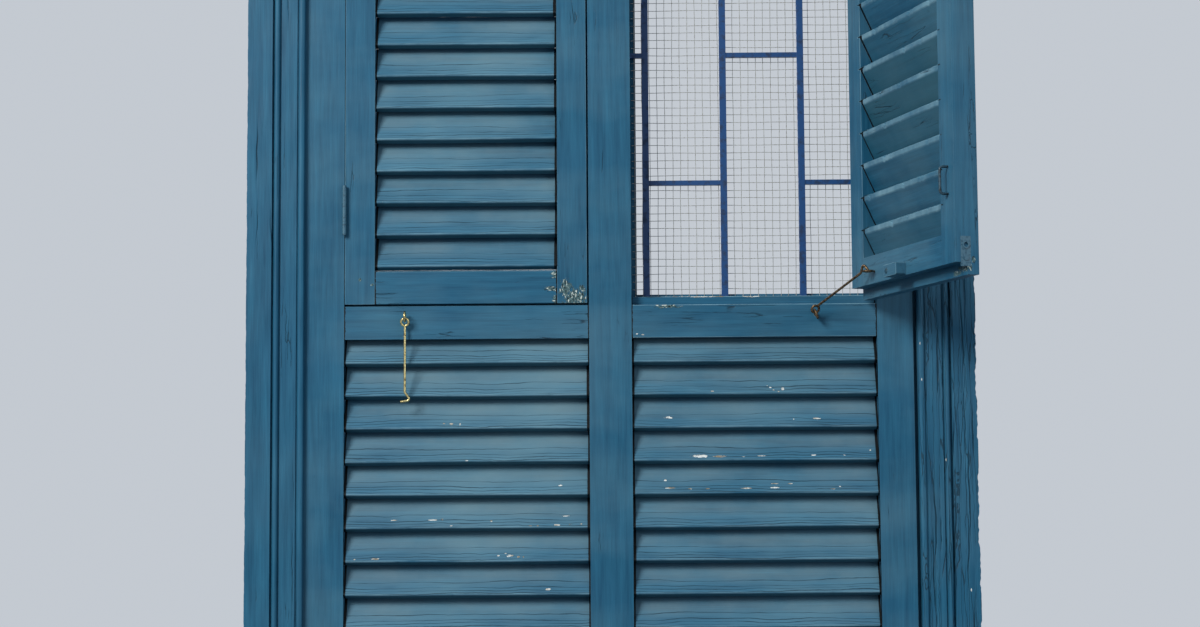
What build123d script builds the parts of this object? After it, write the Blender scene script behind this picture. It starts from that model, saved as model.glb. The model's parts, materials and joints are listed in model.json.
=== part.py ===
from build123d import *
import math
import os

# Pair of louvred window shutters in their own frame.
# Millimetres. +X to the right, +Y into the wall, +Z up. The origin is on the front face of the frame,
# in the middle of the mullion, level with the top edge of the middle rails.

# Lights and frame members
LIGHT_W = 397.0
MULLION_W = 69.0
JAMB_FACE_W = 64.0
CASING_LAP = 22.0
FRAME_DEPTH = 105.0
HEAD_FACE_H = 64.0
MID_RAIL_H = 53.5
STOP_SETBACK = 19.0
STOP_H = 15.0
BOTTOM_RAIL_H = 74.0
MID_TENON_UNDER = 8.0
MID_TENON_OVER = 10.0
BOTTOM_TENON_UNDER = 16.0
BOTTOM_TENON_OVER = 12.0
RAIL_LIP_CLEAR = 1.5
JOINT_GAP_W = 6.0
JOINT_GAP_DEPTH = 14.0

# Sill
SILL_H = 45.0
SILL_NOSE = 45.0
SILL_FLAT = 20.0
SILL_FALL = 7.0
SILL_END = 11.0
DRIP_W = 5.0
DRIP_DEPTH = 4.0
DRIP_INSET = 8.0

# Louvre slats, all of one section
SLAT_SLOPE = 63.5
SLAT_CHORD = 57.5
SLAT_T = 12.5
SLAT_ROUND = 2.0
SLAT_SETBACK = 0.3
HOUSING = 8.0
HOUSING_CLEAR = 0.15
HOUSING_END = 0.5
FIXED_SLATS = 10
FIXED_PITCH = 53.3
FIXED_FIRST_DROP = 92.0
LEAF_SLATS = 12
LEAF_PITCH = 52.3
LEAF_FIRST_RISE = 61.5
RAIL_WEATHERING = 0.27
SLAT_BED = 9.0
SLAT_HEADROOM = 2.2

# Leaves
LEAF_T = 36.7
LEAF_SIDE_GAP = 1.0
LEAF_MEETING_GAP = 2.8
LEAF_BOTTOM_GAP = 3.5
LEAF_TOP_GAP = 3.0
STILE_W = 48.5
TOP_RAIL_H = 56.0
REBATE_H = 18.0
REBATE_CLEAR = 1.0
TENON_T = 11.0
TENON_L = 26.0
TENON_CLEAR = 0.1
LEAF_TENON_IN = 6.0
LEAF_TENON_TOP_IN = 4.0
OPEN_ANGLE = 106.3

# Butt hinges
HINGE_L = 78.0
HINGE_INSET = 153.5
KNUCKLES = 5
KNUCKLE_R = 3.7
KNUCKLE_GAP = 0.3
PIN_R = 2.0
PIN_CLEAR = 0.08
PIN_HEAD_R = 3.2
PIN_HEAD_H = 1.6
PIN_OUT = 5.6
PLATE_T = 1.5
PLATE_W = 28.0
PLATE_AIR = 0.1
PLATE_HOLE_R = 2.2
PLATE_HOLES = 3

# Casing: a moulded board with two quirked beads
CASING_W = 93.0
OUTER_BAND_W = 40.5
OUTER_BAND_H = 16.0
OUTER_BEAD_W = 14.5
INNER_BAND_W = 26.5
INNER_BAND_H = 11.0
QUIRK = 2.0
QUIRK_DEPTH = 2.4
BEAD_CROWN = 1.0

# Iron grille and welded wire mesh
BAR = 11.0
BAR_TO_BACK = 27.0
BAR_FIRST = 26.0
BAR_PITCH = 129.5
BARS = 3
CROSS_BAR = 8.0
CROSS_LOW = 210.0
CROSS_RISE = 215.0
WIRE_T = 1.2
MESH_PITCH = 50.8
MESH_EDGE = 3.0
MESH_BEHIND_BAR = 2.5
BEAD_W = 10.0
BEAD_DEPTH = 12.0

# Cabin hooks and their screw eyes
EYE_X = 332.0
EYE_DROP = 18.0
EYE_OUT = 14.0
EYE_R = 7.5
EYE_WIRE_R = 1.75
EYE_SHANK = 12.0
EYE_TURN = 112.0
HOOK_RING_R = 6.0
HOOK_WIRE_R = 2.0
RING_AIR = 0.6
CROOK_RUN = 13.0
CROOK_OUT = 9.5
TIP_RUN = 2.5
TIP_PAST_ROD = 6.0
TIP_END = 1.0
TIP_TWIST = 50.0
TIP_SEAT_X = 2.0
TIP_SEAT_Y = 2.0
CROOK_BEND_R = 3.5
LEAF_EYE_IN = 93.0
LEAF_EYE_UP = 36.5
LEAF_EYE_OUT = 11.5
LEAF_EYE_R = 7.5
LEAF_EYE_WIRE_R = 1.6
LEFT_RING_LEAN = 0.35
SETTLING_STEPS = 12

# Fittings on the open leaf
BUTTON_L = 48.0
BUTTON_H = 19.0
BUTTON_T = 17.0
BUTTON_IN = 191.0
BUTTON_UP = 28.0
BUTTON_ROUND = 2.5
PULL_IN = 21.2
PULL_UP = 140.0
PULL_H = 40.0
PULL_OUT = 13.0
PULL_WIRE_R = 2.0
PULL_BEND_R = 5.0
PULL_LEG = 10.0
EDGE_PLATE_W = 16.0
EDGE_PLATE_H = 44.0
EDGE_PLATE_T = 1.5
EDGE_PLATE_UP = 34.0
EDGE_PLATE_IN = 16.0
EDGE_HOLE_R = 3.5
COLLAR_W = 2.0
STUD_R = 4.0
STUD_H = 1.2
STUD_SPACING = 19.0

# Levels and widths that follow
light_left = MULLION_W / 2
light_right = light_left + LIGHT_W
light_mid = (light_left + light_right) / 2
face_right = light_right + JAMB_FACE_W
jamb_right = face_right + CASING_LAP
casing_right = face_right + CASING_W

slope = math.radians(SLAT_SLOPE)
slat_run = SLAT_CHORD * math.cos(slope)
slat_rise = SLAT_CHORD * math.sin(slope)
slat_in = SLAT_T * math.sin(slope)

fixed_first = -FIXED_FIRST_DROP
fixed_last = fixed_first - FIXED_PITCH * (FIXED_SLATS - 1)
bottom_rail_top = fixed_last - SLAT_BED
sill_top = bottom_rail_top - BOTTOM_RAIL_H

leaf_bottom = LEAF_BOTTOM_GAP
leaf_first = leaf_bottom + LEAF_FIRST_RISE
leaf_rail_top = leaf_first - SLAT_BED
top_rail_low = leaf_first + LEAF_PITCH * (LEAF_SLATS - 1) + slat_rise + SLAT_HEADROOM
leaf_top = top_rail_low + TOP_RAIL_H
light_top = leaf_top + LEAF_TOP_GAP
head_top = light_top + HEAD_FACE_H + CASING_LAP

leaf_hinge_x = light_right - LEAF_SIDE_GAP
leaf_meet_x = light_left + LEAF_MEETING_GAP
hinge_stile_x = leaf_hinge_x - STILE_W
meet_stile_x = leaf_meet_x + STILE_W
pivot_x = light_right - LEAF_SIDE_GAP / 2
hinge_levels = {"lower": leaf_bottom + HINGE_INSET, "upper": leaf_top - HINGE_INSET}
right_pivot = Axis((pivot_x, -PIN_OUT, 0), (0, 0, 1))

made = {}


def keep(name, solid):
    """Store one named piece."""
    solid.label = name
    made[name] = solid


def block(x0, x1, y0, y1, z0, z1):
    """Box between two corners."""
    box = Box(x1 - x0, y1 - y0, z1 - z0)
    return Pos((x0 + x1) / 2, (y0 + y1) / 2, (z0 + z1) / 2) * box


def along_x(points, x0, x1):
    """Straight piece along X, with its section given as (y, z) points."""
    face = make_face(Polyline(*[(x0, y, z) for y, z in points], close=True))
    return extrude(face, amount=x1 - x0, dir=(1, 0, 0))


def mirrored(solid):
    """The same piece for the other side of the mullion."""
    return mirror(solid, about=Plane.YZ)


def opened(solid):
    """The right leaf's piece, swung from closed to the angle at which the hook holds it."""
    return solid.rotate(right_pivot, OPEN_ANGLE)


def slat(x0, x1, level, clear=0.0):
    """Louvre slat whose outer lower edge is at the given level, or its housing where clear is given."""
    out = Vector(0, -math.sin(slope), math.cos(slope))
    up = Vector(0, math.cos(slope), math.sin(slope))
    nose = Vector(0, SLAT_SETBACK, level)
    corners = [
        nose + out * clear - up * clear,
        nose + out * clear + up * (SLAT_CHORD + clear),
        nose - out * (SLAT_T + clear) + up * (SLAT_CHORD + clear),
        nose - out * (SLAT_T + clear) - up * clear,
    ]
    board = along_x([(c.Y, c.Z) for c in corners], x0, x1)
    if clear == 0:
        front = board.edges().filter_by(Axis.X).sort_by(Axis.Y)[0]
        board = fillet(front, SLAT_ROUND)
    return board


def slat_levels(first, pitch, count):
    """Levels of the outer lower edges of a set of slats."""
    return [first + pitch * k for k in range(count)]


fixed_levels = slat_levels(fixed_first, -FIXED_PITCH, FIXED_SLATS)
leaf_levels = slat_levels(leaf_first, LEAF_PITCH, LEAF_SLATS)


def slat_set(x0, x1, levels):
    """One solid for each slat, with its ends in the housings."""
    reach = HOUSING - HOUSING_END
    return Compound([slat(x0 - reach, x1 + reach, z).solid() for z in levels])


def housings(x0, x1, levels):
    """What the slat ends cut out of the two members beside them."""
    return [slat(x0 - HOUSING, x1 + HOUSING, z, HOUSING_CLEAR) for z in levels]


def tenon(x_end, way, y_mid, z0, z1, clear=0.0):
    """Stub tenon on a rail's end, or its mortise where clear is given."""
    x0, x1 = sorted((x_end, x_end + way * (TENON_L + clear)))
    half = TENON_T / 2 + clear
    return block(x0, x1, y_mid - half, y_mid + half, z0 - clear, z1 + clear)


def ring(centre, normal, radius, wire_r):
    """Closed wire ring."""
    return Plane(origin=centre, z_dir=normal) * Torus(radius, wire_r)


def rod(start, end, radius):
    """Round straight rod between two points."""
    way = Vector(*end) - Vector(*start)
    turned = Plane(origin=start, z_dir=way) * Cylinder(radius, way.length)
    return turned.moved(Pos(way * 0.5))


# Fixed frame

def mid_rail():
    """Right middle rail: stop behind the leaf, and a sloped underside over the first fixed slat."""
    lip = SLAT_SETBACK + (FIXED_FIRST_DROP - MID_RAIL_H) / math.tan(slope) - RAIL_LIP_CLEAR
    back_low = fixed_first + slat_rise + SLAT_HEADROOM
    hollow = lip + (back_low + MID_RAIL_H) / math.tan(slope)
    section = [
        (0, 0), (STOP_SETBACK, 0), (STOP_SETBACK, STOP_H), (FRAME_DEPTH, STOP_H),
        (FRAME_DEPTH, back_low), (hollow, back_low), (lip, -MID_RAIL_H), (0, -MID_RAIL_H),
    ]
    return along_x(section, light_left, light_right), back_low


def bottom_rail():
    """Right bottom rail with a weathered top."""
    rise = RAIL_WEATHERING * (slat_run + slat_in)
    depth = slat_run + slat_in
    section = [
        (0, bottom_rail_top), (depth, bottom_rail_top + rise), (FRAME_DEPTH, bottom_rail_top + rise),
        (FRAME_DEPTH, sill_top), (0, sill_top),
    ]
    return along_x(section, light_left, light_right)


right_mid_rail, mid_rail_low = mid_rail()
right_bottom_rail = bottom_rail()
tenon_y = FRAME_DEPTH / 2
mid_tenon = (mid_rail_low + MID_TENON_UNDER, STOP_H - MID_TENON_OVER)
bottom_tenon = (sill_top + BOTTOM_TENON_UNDER, bottom_rail_top - BOTTOM_TENON_OVER)
mortises = []
for z0, z1 in (mid_tenon, bottom_tenon):
    mortises.append(tenon(light_left, -1, tenon_y, z0, z1, TENON_CLEAR))
    mortises.append(tenon(light_right, 1, tenon_y, z0, z1, TENON_CLEAR))
for way, x_end in ((-1, light_left), (1, light_right)):
    right_mid_rail += tenon(x_end, way, tenon_y, *mid_tenon)
    right_bottom_rail += tenon(x_end, way, tenon_y, *bottom_tenon)

# The rail's eye shank sits in a drilled hole
eye_z = -EYE_DROP
eye_hole = rod((EYE_X, 0, eye_z), (EYE_X, EYE_SHANK, eye_z), EYE_WIRE_R)
right_mid_rail -= eye_hole

fixed_housings = housings(light_left, light_right, fixed_levels)


def hinge_pocket(side, level):
    """Shallow pocket for a hinge plate, +1 in the jamb and -1 in the leaf's edge."""
    edge = light_right if side > 0 else leaf_hinge_x
    back = pivot_x + side * (PLATE_AIR + PLATE_T)
    x0, x1 = sorted((edge, back))
    return block(x0, x1, 0, PLATE_W, level - HINGE_L / 2, level + HINGE_L / 2)


jamb = block(light_right, jamb_right, 0, FRAME_DEPTH, sill_top, light_top)
jamb -= fixed_housings
jamb -= mortises
jamb -= [hinge_pocket(1, z) for z in hinge_levels.values()]
keep("left_jamb", mirrored(jamb))
joint_gap = block(face_right - JOINT_GAP_W, face_right, 0, JOINT_GAP_DEPTH, sill_top, light_top)
keep("right_jamb", jamb - joint_gap)

mullion = block(-light_left, light_left, 0, FRAME_DEPTH, sill_top, light_top)
mullion -= fixed_housings + mortises
mullion -= [mirrored(cut) for cut in fixed_housings + mortises]
keep("mullion", mullion)

keep("right_mid_rail", right_mid_rail)
keep("left_mid_rail", mirrored(right_mid_rail))
keep("right_bottom_rail", right_bottom_rail)
keep("left_bottom_rail", mirrored(right_bottom_rail))

head = block(-jamb_right, jamb_right, 0, FRAME_DEPTH, light_top, head_top)
for low in (-light_right, light_left):
    head += block(low, low + LIGHT_W, STOP_SETBACK, FRAME_DEPTH, light_top - STOP_H, light_top)
keep("head", head)

sill_low = sill_top - SILL_H
drip = SILL_NOSE - DRIP_INSET
sill_section = [
    (FRAME_DEPTH, sill_top), (-SILL_FLAT, sill_top), (-SILL_NOSE, sill_top - SILL_FALL),
    (-SILL_NOSE, sill_low), (-drip, sill_low), (-drip, sill_low + DRIP_DEPTH),
    (DRIP_W - drip, sill_low + DRIP_DEPTH), (DRIP_W - drip, sill_low), (FRAME_DEPTH, sill_low),
]
keep("sill", along_x(sill_section, -casing_right - SILL_END, casing_right + SILL_END))

fixed_slats = slat_set(light_left, light_right, fixed_levels)
keep("right_fixed_louvres", fixed_slats)
keep("left_fixed_louvres", mirrored(fixed_slats))


# Casing

def bead(u0, u1, foot, crown):
    """Half-round bead from u0 to u1 across the board, as a curve between its quirks."""
    return ThreePointArc((u0, foot), ((u0 + u1) / 2, crown), (u1, foot))


def casing_section():
    """Moulded board: u runs from the inner edge out, and v stands out from the wall."""
    inner_bead_w = CASING_W - OUTER_BAND_W - OUTER_BEAD_W - INNER_BAND_W
    foot = INNER_BAND_H - QUIRK_DEPTH
    u1 = inner_bead_w - QUIRK / 2
    u2 = inner_bead_w + QUIRK / 2
    u3 = inner_bead_w + INNER_BAND_W
    u4 = u3 + QUIRK
    u5 = u3 + OUTER_BEAD_W - QUIRK
    u6 = u3 + OUTER_BEAD_W
    line = Polyline((u1, foot), (u2, foot), (u2, INNER_BAND_H), (u3, INNER_BAND_H), (u3, foot), (u4, foot))
    line += bead(0, u1, foot, INNER_BAND_H + BEAD_CROWN)
    line += bead(u4, u5, foot, OUTER_BAND_H - BEAD_CROWN)
    line += Polyline((u5, foot), (u6, foot), (u6, OUTER_BAND_H), (CASING_W, OUTER_BAND_H),
                     (CASING_W, 0), (0, 0), (0, foot))
    return make_face(line)


casing_top = light_top + HEAD_FACE_H
casing_height = casing_top + CASING_W - sill_top
side_board = extrude(mirror(casing_section(), about=Plane.XZ), amount=casing_height)
side_board = Pos(face_right, 0, sill_top) * side_board
mitre = Plane(origin=(face_right, 0, casing_top), z_dir=(-1, 0, 1))
side_board = split(side_board, bisect_by=mitre, keep=Keep.BOTTOM)
keep("right_casing", side_board)
keep("left_casing", mirrored(side_board))

head_plane = Plane(origin=(-casing_right, 0, casing_top), x_dir=(0, 0, 1), z_dir=(1, 0, 0))
head_board = extrude(head_plane * casing_section(), amount=2 * casing_right)
head_board = split(head_board, bisect_by=mitre, keep=Keep.TOP)
left_mitre = Plane(origin=(-face_right, 0, casing_top), z_dir=(1, 0, 1))
head_board = split(head_board, bisect_by=left_mitre, keep=Keep.TOP)
keep("head_casing", head_board)


# Grille, mesh and beads in the right light

bar_y = FRAME_DEPTH - BAR_TO_BACK

def grille():
    """Upright bars from rail to head, with short cross bars that step from bay to bay."""
    low, high = STOP_H, light_top - STOP_H
    half = BAR / 2
    first = light_left + BAR_FIRST
    posts = [first + BAR_PITCH * k for k in range(BARS)]
    iron = [block(x - half, x + half, bar_y - half, bar_y + half, low, high) for x in posts]
    edges = [light_left] + posts + [light_right]
    for bay in range(len(edges) - 1):
        x0 = edges[bay] + (half if bay > 0 else 0)
        x1 = edges[bay + 1] - (half if bay < len(edges) - 2 else 0)
        levels = [CROSS_LOW + CROSS_RISE] if bay % 2 == 0 else [CROSS_LOW, CROSS_LOW + 2 * CROSS_RISE]
        cross = CROSS_BAR / 2
        for z in levels:
            iron.append(block(x0, x1, bar_y - cross, bar_y + cross, z - cross, z + cross))
    return iron[0].fuse(*iron[1:])


right_grille = grille()
keep("right_grille", right_grille)
keep("left_grille", mirrored(right_grille))

mesh_y = bar_y + BAR / 2 + MESH_BEHIND_BAR
light_low, light_high = STOP_H, light_top - STOP_H
mesh_w = LIGHT_W - 2 * MESH_EDGE
mesh_h = light_high - light_low - 2 * MESH_EDGE
cells_x = int(mesh_w // MESH_PITCH) + 1
cells_z = int(mesh_h // MESH_PITCH) + 1
cell_w = (mesh_w - WIRE_T) / cells_x
cell_h = (mesh_h - WIRE_T) / cells_z
mesh_plane = Plane(origin=(light_mid, mesh_y, (light_low + light_high) / 2), x_dir=(1, 0, 0), z_dir=(0, 1, 0))
cells = GridLocations(cell_w, cell_h, cells_x, cells_z) * Rectangle(cell_w - WIRE_T, cell_h - WIRE_T)
right_mesh = extrude(mesh_plane * (Rectangle(mesh_w, mesh_h) - cells), amount=WIRE_T)
keep("right_mesh", right_mesh)
keep("left_mesh", mirrored(right_mesh))


def mesh_beads():
    """Four strips behind the mesh, round the light."""
    y0 = mesh_y + WIRE_T
    y1 = y0 + BEAD_DEPTH
    uprights = [
        block(light_left, light_left + BEAD_W, y0, y1, light_low, light_high),
        block(light_right - BEAD_W, light_right, y0, y1, light_low, light_high),
    ]
    levels = [
        block(light_left + BEAD_W, light_right - BEAD_W, y0, y1, light_low, light_low + BEAD_W),
        block(light_left + BEAD_W, light_right - BEAD_W, y0, y1, light_high - BEAD_W, light_high),
    ]
    return Compound([strip.solid() for strip in uprights + levels])


right_beads = mesh_beads()
keep("right_mesh_beads", right_beads)
keep("left_mesh_beads", mirrored(right_beads))


# Leaves, drawn on the right in the closed position

def rebated(solid):
    """Cut the inner half away at the foot and top, where the frame's stops stand."""
    y0 = STOP_SETBACK - REBATE_CLEAR
    foot = block(leaf_meet_x, leaf_hinge_x, y0, LEAF_T, leaf_bottom, leaf_bottom + REBATE_H)
    top = block(leaf_meet_x, leaf_hinge_x, y0, LEAF_T, leaf_top - REBATE_H, leaf_top)
    return solid - [foot, top]


leaf_housings = housings(meet_stile_x, hinge_stile_x, leaf_levels)
foot_tenon = (leaf_bottom + REBATE_H + LEAF_TENON_IN, leaf_rail_top - LEAF_TENON_TOP_IN)
top_tenon = (top_rail_low + LEAF_TENON_IN, leaf_top - REBATE_H - LEAF_TENON_IN)
leaf_tenon_y = LEAF_T / 2
leaf_mortises = []
for z0, z1 in (foot_tenon, top_tenon):
    leaf_mortises.append(tenon(meet_stile_x, -1, leaf_tenon_y, z0, z1, TENON_CLEAR))
    leaf_mortises.append(tenon(hinge_stile_x, 1, leaf_tenon_y, z0, z1, TENON_CLEAR))

hinge_stile = block(hinge_stile_x, leaf_hinge_x, 0, LEAF_T, leaf_bottom, leaf_top)
hinge_stile = rebated(hinge_stile) - leaf_housings
hinge_stile -= leaf_mortises
hinge_stile -= [hinge_pocket(-1, z) for z in hinge_levels.values()]

meet_stile = block(leaf_meet_x, meet_stile_x, 0, LEAF_T, leaf_bottom, leaf_top)
meet_stile = rebated(meet_stile) - leaf_housings
meet_stile -= leaf_mortises

foot_rail_section = [
    (0, leaf_bottom), (LEAF_T, leaf_bottom), (LEAF_T, leaf_rail_top + RAIL_WEATHERING * LEAF_T),
    (0, leaf_rail_top),
]
foot_rail = rebated(along_x(foot_rail_section, meet_stile_x, hinge_stile_x))
top_rail = rebated(block(meet_stile_x, hinge_stile_x, 0, LEAF_T, top_rail_low, leaf_top))
for way, x_end in ((-1, meet_stile_x), (1, hinge_stile_x)):
    foot_rail += tenon(x_end, way, leaf_tenon_y, *foot_tenon)
    top_rail += tenon(x_end, way, leaf_tenon_y, *top_tenon)

leaf_eye_x = leaf_hinge_x - LEAF_EYE_IN
leaf_eye_z = leaf_bottom + LEAF_EYE_UP
leaf_eye_y = LEAF_T + LEAF_EYE_OUT
foot_rail -= rod((leaf_eye_x, LEAF_T - EYE_SHANK, leaf_eye_z), (leaf_eye_x, LEAF_T, leaf_eye_z), LEAF_EYE_WIRE_R)


def screw_eye(centre, normal, radius, wire_r, root_y, way):
    """Ring on a shank that goes into the wood at root_y, towards way along Y."""
    loop = ring(centre, normal, radius, wire_r)
    start = (centre[0], centre[1] + way * radius, centre[2])
    end = (centre[0], root_y + way * EYE_SHANK, centre[2])
    return loop + rod(start, end, wire_r)


leaf_eye_at = (leaf_eye_x, leaf_eye_y, leaf_eye_z)
leaf_eye = screw_eye(leaf_eye_at, (0, 0, 1), LEAF_EYE_R, LEAF_EYE_WIRE_R, LEAF_T, -1)


# Hinges

def knuckle_spans(level, mine):
    """Heights of this plate's knuckles, the jamb's being the even ones."""
    step = HINGE_L / KNUCKLES
    low = level - HINGE_L / 2
    gap = KNUCKLE_GAP / 2
    return [(low + step * k + gap, low + step * (k + 1) - gap) for k in range(KNUCKLES) if k % 2 == mine]


def hinge_plate(side, level):
    """Plate with its knuckles, +1 on the jamb and -1 on the leaf."""
    x0, x1 = sorted((pivot_x + side * PLATE_AIR, pivot_x + side * (PLATE_AIR + PLATE_T)))
    mine = 0 if side > 0 else 1
    bore = PIN_R + (0 if side > 0 else PIN_CLEAR)
    relief = KNUCKLE_R + KNUCKLE_GAP - PIN_OUT
    plate = block(x0, x1, relief, PLATE_W, level - HINGE_L / 2, level + HINGE_L / 2)
    for z0, z1 in knuckle_spans(level, mine):
        plate += block(x0, x1, -PIN_OUT + bore, relief, z0, z1)
        plate += rod((pivot_x, -PIN_OUT, z0), (pivot_x, -PIN_OUT, z1), KNUCKLE_R)
    end = HINGE_L
    plate -= rod((pivot_x, -PIN_OUT, level - end), (pivot_x, -PIN_OUT, level + end), bore)
    pitch = HINGE_L / PLATE_HOLES
    for k in range(PLATE_HOLES):
        z = level - HINGE_L / 2 + pitch * (k + 0.5)
        plate -= rod((x0, PLATE_W / 2, z), (x1, PLATE_W / 2, z), PLATE_HOLE_R)
    return plate


def hinge_pin(level):
    """Pin with a low round head at each end."""
    low, high = level - HINGE_L / 2, level + HINGE_L / 2
    centre = (pivot_x, -PIN_OUT)
    pin = rod((*centre, low), (*centre, high), PIN_R)
    pin += rod((*centre, low - PIN_HEAD_H), (*centre, low), PIN_HEAD_R)
    return pin + rod((*centre, high), (*centre, high + PIN_HEAD_H), PIN_HEAD_R)


for where, level in hinge_levels.items():
    jamb_plate = hinge_plate(1, level)
    leaf_plate = hinge_plate(-1, level)
    pin = hinge_pin(level)
    keep(f"right_{where}_hinge_jamb_plate", jamb_plate)
    keep(f"left_{where}_hinge_jamb_plate", mirrored(jamb_plate))
    keep(f"right_{where}_hinge_leaf_plate", opened(leaf_plate))
    keep(f"left_{where}_hinge_leaf_plate", mirrored(leaf_plate))
    keep(f"right_{where}_hinge_pin", pin)
    keep(f"left_{where}_hinge_pin", mirrored(pin))

leaf_slats = slat_set(meet_stile_x, hinge_stile_x, leaf_levels)

# Edge plate, let into the open leaf's meeting edge
edge_x = leaf_meet_x
edge_y = LEAF_T - EDGE_PLATE_IN
edge_z = leaf_bottom + EDGE_PLATE_UP
plate_cut = block(
    edge_x, edge_x + EDGE_PLATE_T, edge_y - EDGE_PLATE_W / 2, edge_y + EDGE_PLATE_W / 2,
    edge_z - EDGE_PLATE_H / 2, edge_z + EDGE_PLATE_H / 2,
)
stud_z = edge_z + STUD_SPACING / 2
edge_plate = plate_cut - rod((edge_x, edge_y, stud_z), (edge_x + EDGE_PLATE_T, edge_y, stud_z), EDGE_HOLE_R)
collar = rod((edge_x - STUD_H, edge_y, stud_z), (edge_x, edge_y, stud_z), EDGE_HOLE_R + COLLAR_W)
collar -= rod((edge_x - STUD_H, edge_y, stud_z), (edge_x, edge_y, stud_z), EDGE_HOLE_R)
low_stud_z = stud_z - STUD_SPACING
stud = rod((edge_x - STUD_H, edge_y, low_stud_z), (edge_x, edge_y, low_stud_z), STUD_R)
edge_plate += collar
edge_plate += stud

# Turn button and pull
button_x = leaf_hinge_x - BUTTON_IN
button_z = leaf_bottom + BUTTON_UP
button = block(
    button_x - BUTTON_L / 2, button_x + BUTTON_L / 2, LEAF_T, LEAF_T + BUTTON_T,
    button_z - BUTTON_H / 2, button_z + BUTTON_H / 2,
)
button = fillet(button.edges().filter_by(Axis.Y), BUTTON_ROUND)

pull_x = leaf_meet_x + PULL_IN
pull_z = leaf_bottom + PULL_UP
pull_low = pull_z - PULL_H / 2
pull_high = pull_z + PULL_H / 2
pull_path = FilletPolyline(
    (pull_x, LEAF_T - PULL_LEG, pull_low), (pull_x, LEAF_T + PULL_OUT, pull_low),
    (pull_x, LEAF_T + PULL_OUT, pull_high), (pull_x, LEAF_T - PULL_LEG, pull_high),
    radius=PULL_BEND_R,
)
pull_start = Plane(origin=pull_path @ 0, z_dir=pull_path % 0)
pull = sweep(pull_start * Circle(PULL_WIRE_R), path=pull_path)
pull_holes = [
    rod((pull_x, LEAF_T - PULL_LEG, z), (pull_x, LEAF_T, z), PULL_WIRE_R) for z in (pull_low, pull_high)
]

keep("left_hinge_stile", mirrored(hinge_stile))
keep("left_meeting_stile", mirrored(meet_stile))
keep("left_leaf_top_rail", mirrored(top_rail))
keep("left_leaf_bottom_rail", mirrored(foot_rail))
keep("left_leaf_louvres", mirrored(leaf_slats))
keep("left_leaf_eye", mirrored(leaf_eye))

keep("right_hinge_stile", opened(hinge_stile))
keep("right_meeting_stile", opened(meet_stile - [plate_cut] - pull_holes))
keep("right_leaf_top_rail", opened(top_rail))
keep("right_leaf_bottom_rail", opened(foot_rail))
keep("right_leaf_louvres", opened(leaf_slats))
keep("right_leaf_eye", opened(leaf_eye))
keep("right_leaf_turn_button", opened(button))
keep("right_leaf_pull", opened(pull))
keep("right_leaf_edge_plate", opened(edge_plate))


# Hooks. The hook's ring turns on the wire of the rail's eye, so its plane is square to that wire there,
# and the rod leans out of the ring's plane by the same angle when it hangs and when it holds the leaf.

hang = Vector(0, 0, -1)
inward = Vector(0, 1, 0)
gauge = Vector(math.cos(math.radians(EYE_TURN)), 0, math.sin(math.radians(EYE_TURN)))
right_eye = Vector(EYE_X, -EYE_OUT, eye_z)
left_eye = Vector(-EYE_X, -EYE_OUT, eye_z)
turned = Pos(pivot_x, -PIN_OUT, 0) * Rot(0, 0, OPEN_ANGLE) * Pos(-pivot_x, PIN_OUT, 0)
tip_seat = (turned * Pos(*leaf_eye_at)).position + Vector(TIP_SEAT_X, TIP_SEAT_Y, 0)
tip_across = CROOK_OUT + TIP_PAST_ROD + TIP_END
tip_fall = TIP_RUN / tip_across


def hook_axis(pull_way):
    """Axis in the eye's plane that makes one angle with the hanging rod and with pull_way."""
    side = pull_way - hang
    across = -(gauge.dot(side)) / inward.dot(side)
    return (gauge + inward * across).normalized() * -1


def eye_contact(axis):
    """Point on the eye's wire where the wire runs along the axis, on the outer, upper side."""
    q = gauge - axis * gauge.dot(axis)
    return right_eye + q.normalized() * EYE_R


def square_to(axis, way):
    """Unit vector of what is left of way when its part along the axis is taken off."""
    return (way - axis * axis.dot(way)).normalized()


def tip_direction(axis, way, twist):
    """Unit vector along the tip: square to the rod, and turned about it from the ring's plane by the twist."""
    flat = axis.cross(way).normalized() * -1
    angle = math.radians(twist)
    return flat * math.cos(angle) + flat.cross(way) * math.sin(angle)


rod_way = (tip_seat - right_eye).normalized()
for _ in range(SETTLING_STEPS):
    axis_r = hook_axis(rod_way)
    pivot_r = eye_contact(axis_r)
    tip_r = tip_direction(axis_r, rod_way, TIP_TWIST)
    to_crook = tip_seat - (tip_r + rod_way * tip_fall) * TIP_PAST_ROD - pivot_r
    rod_way = to_crook.normalized()
hook_len = to_crook.length

axis_l = Vector(0, -math.sqrt(1 - LEFT_RING_LEAN ** 2), -LEFT_RING_LEAN)
pivot_l = left_eye + square_to(axis_l, hang) * EYE_R


def hook(axis, way, tip):
    """Cabin hook about its pivot: a ring square to the axis, a straight rod, a crook and a tip."""
    ring_way = square_to(axis, way)
    centre = ring_way * (HOOK_RING_R - HOOK_WIRE_R - EYE_WIRE_R - RING_AIR)
    end = hook_len - CROOK_RUN - tip_fall * CROOK_OUT
    corners = [
        centre + ring_way * HOOK_RING_R,
        way * end,
        way * (end + CROOK_RUN) - tip * CROOK_OUT,
        way * (end + CROOK_RUN + TIP_RUN) + tip * (TIP_PAST_ROD + TIP_END),
    ]
    path = FilletPolyline(*corners, radius=CROOK_BEND_R)
    wire = sweep(Plane(origin=path @ 0, z_dir=path % 0) * Circle(HOOK_WIRE_R), path=path)
    return ring(centre, axis, HOOK_RING_R, HOOK_WIRE_R) + wire


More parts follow.
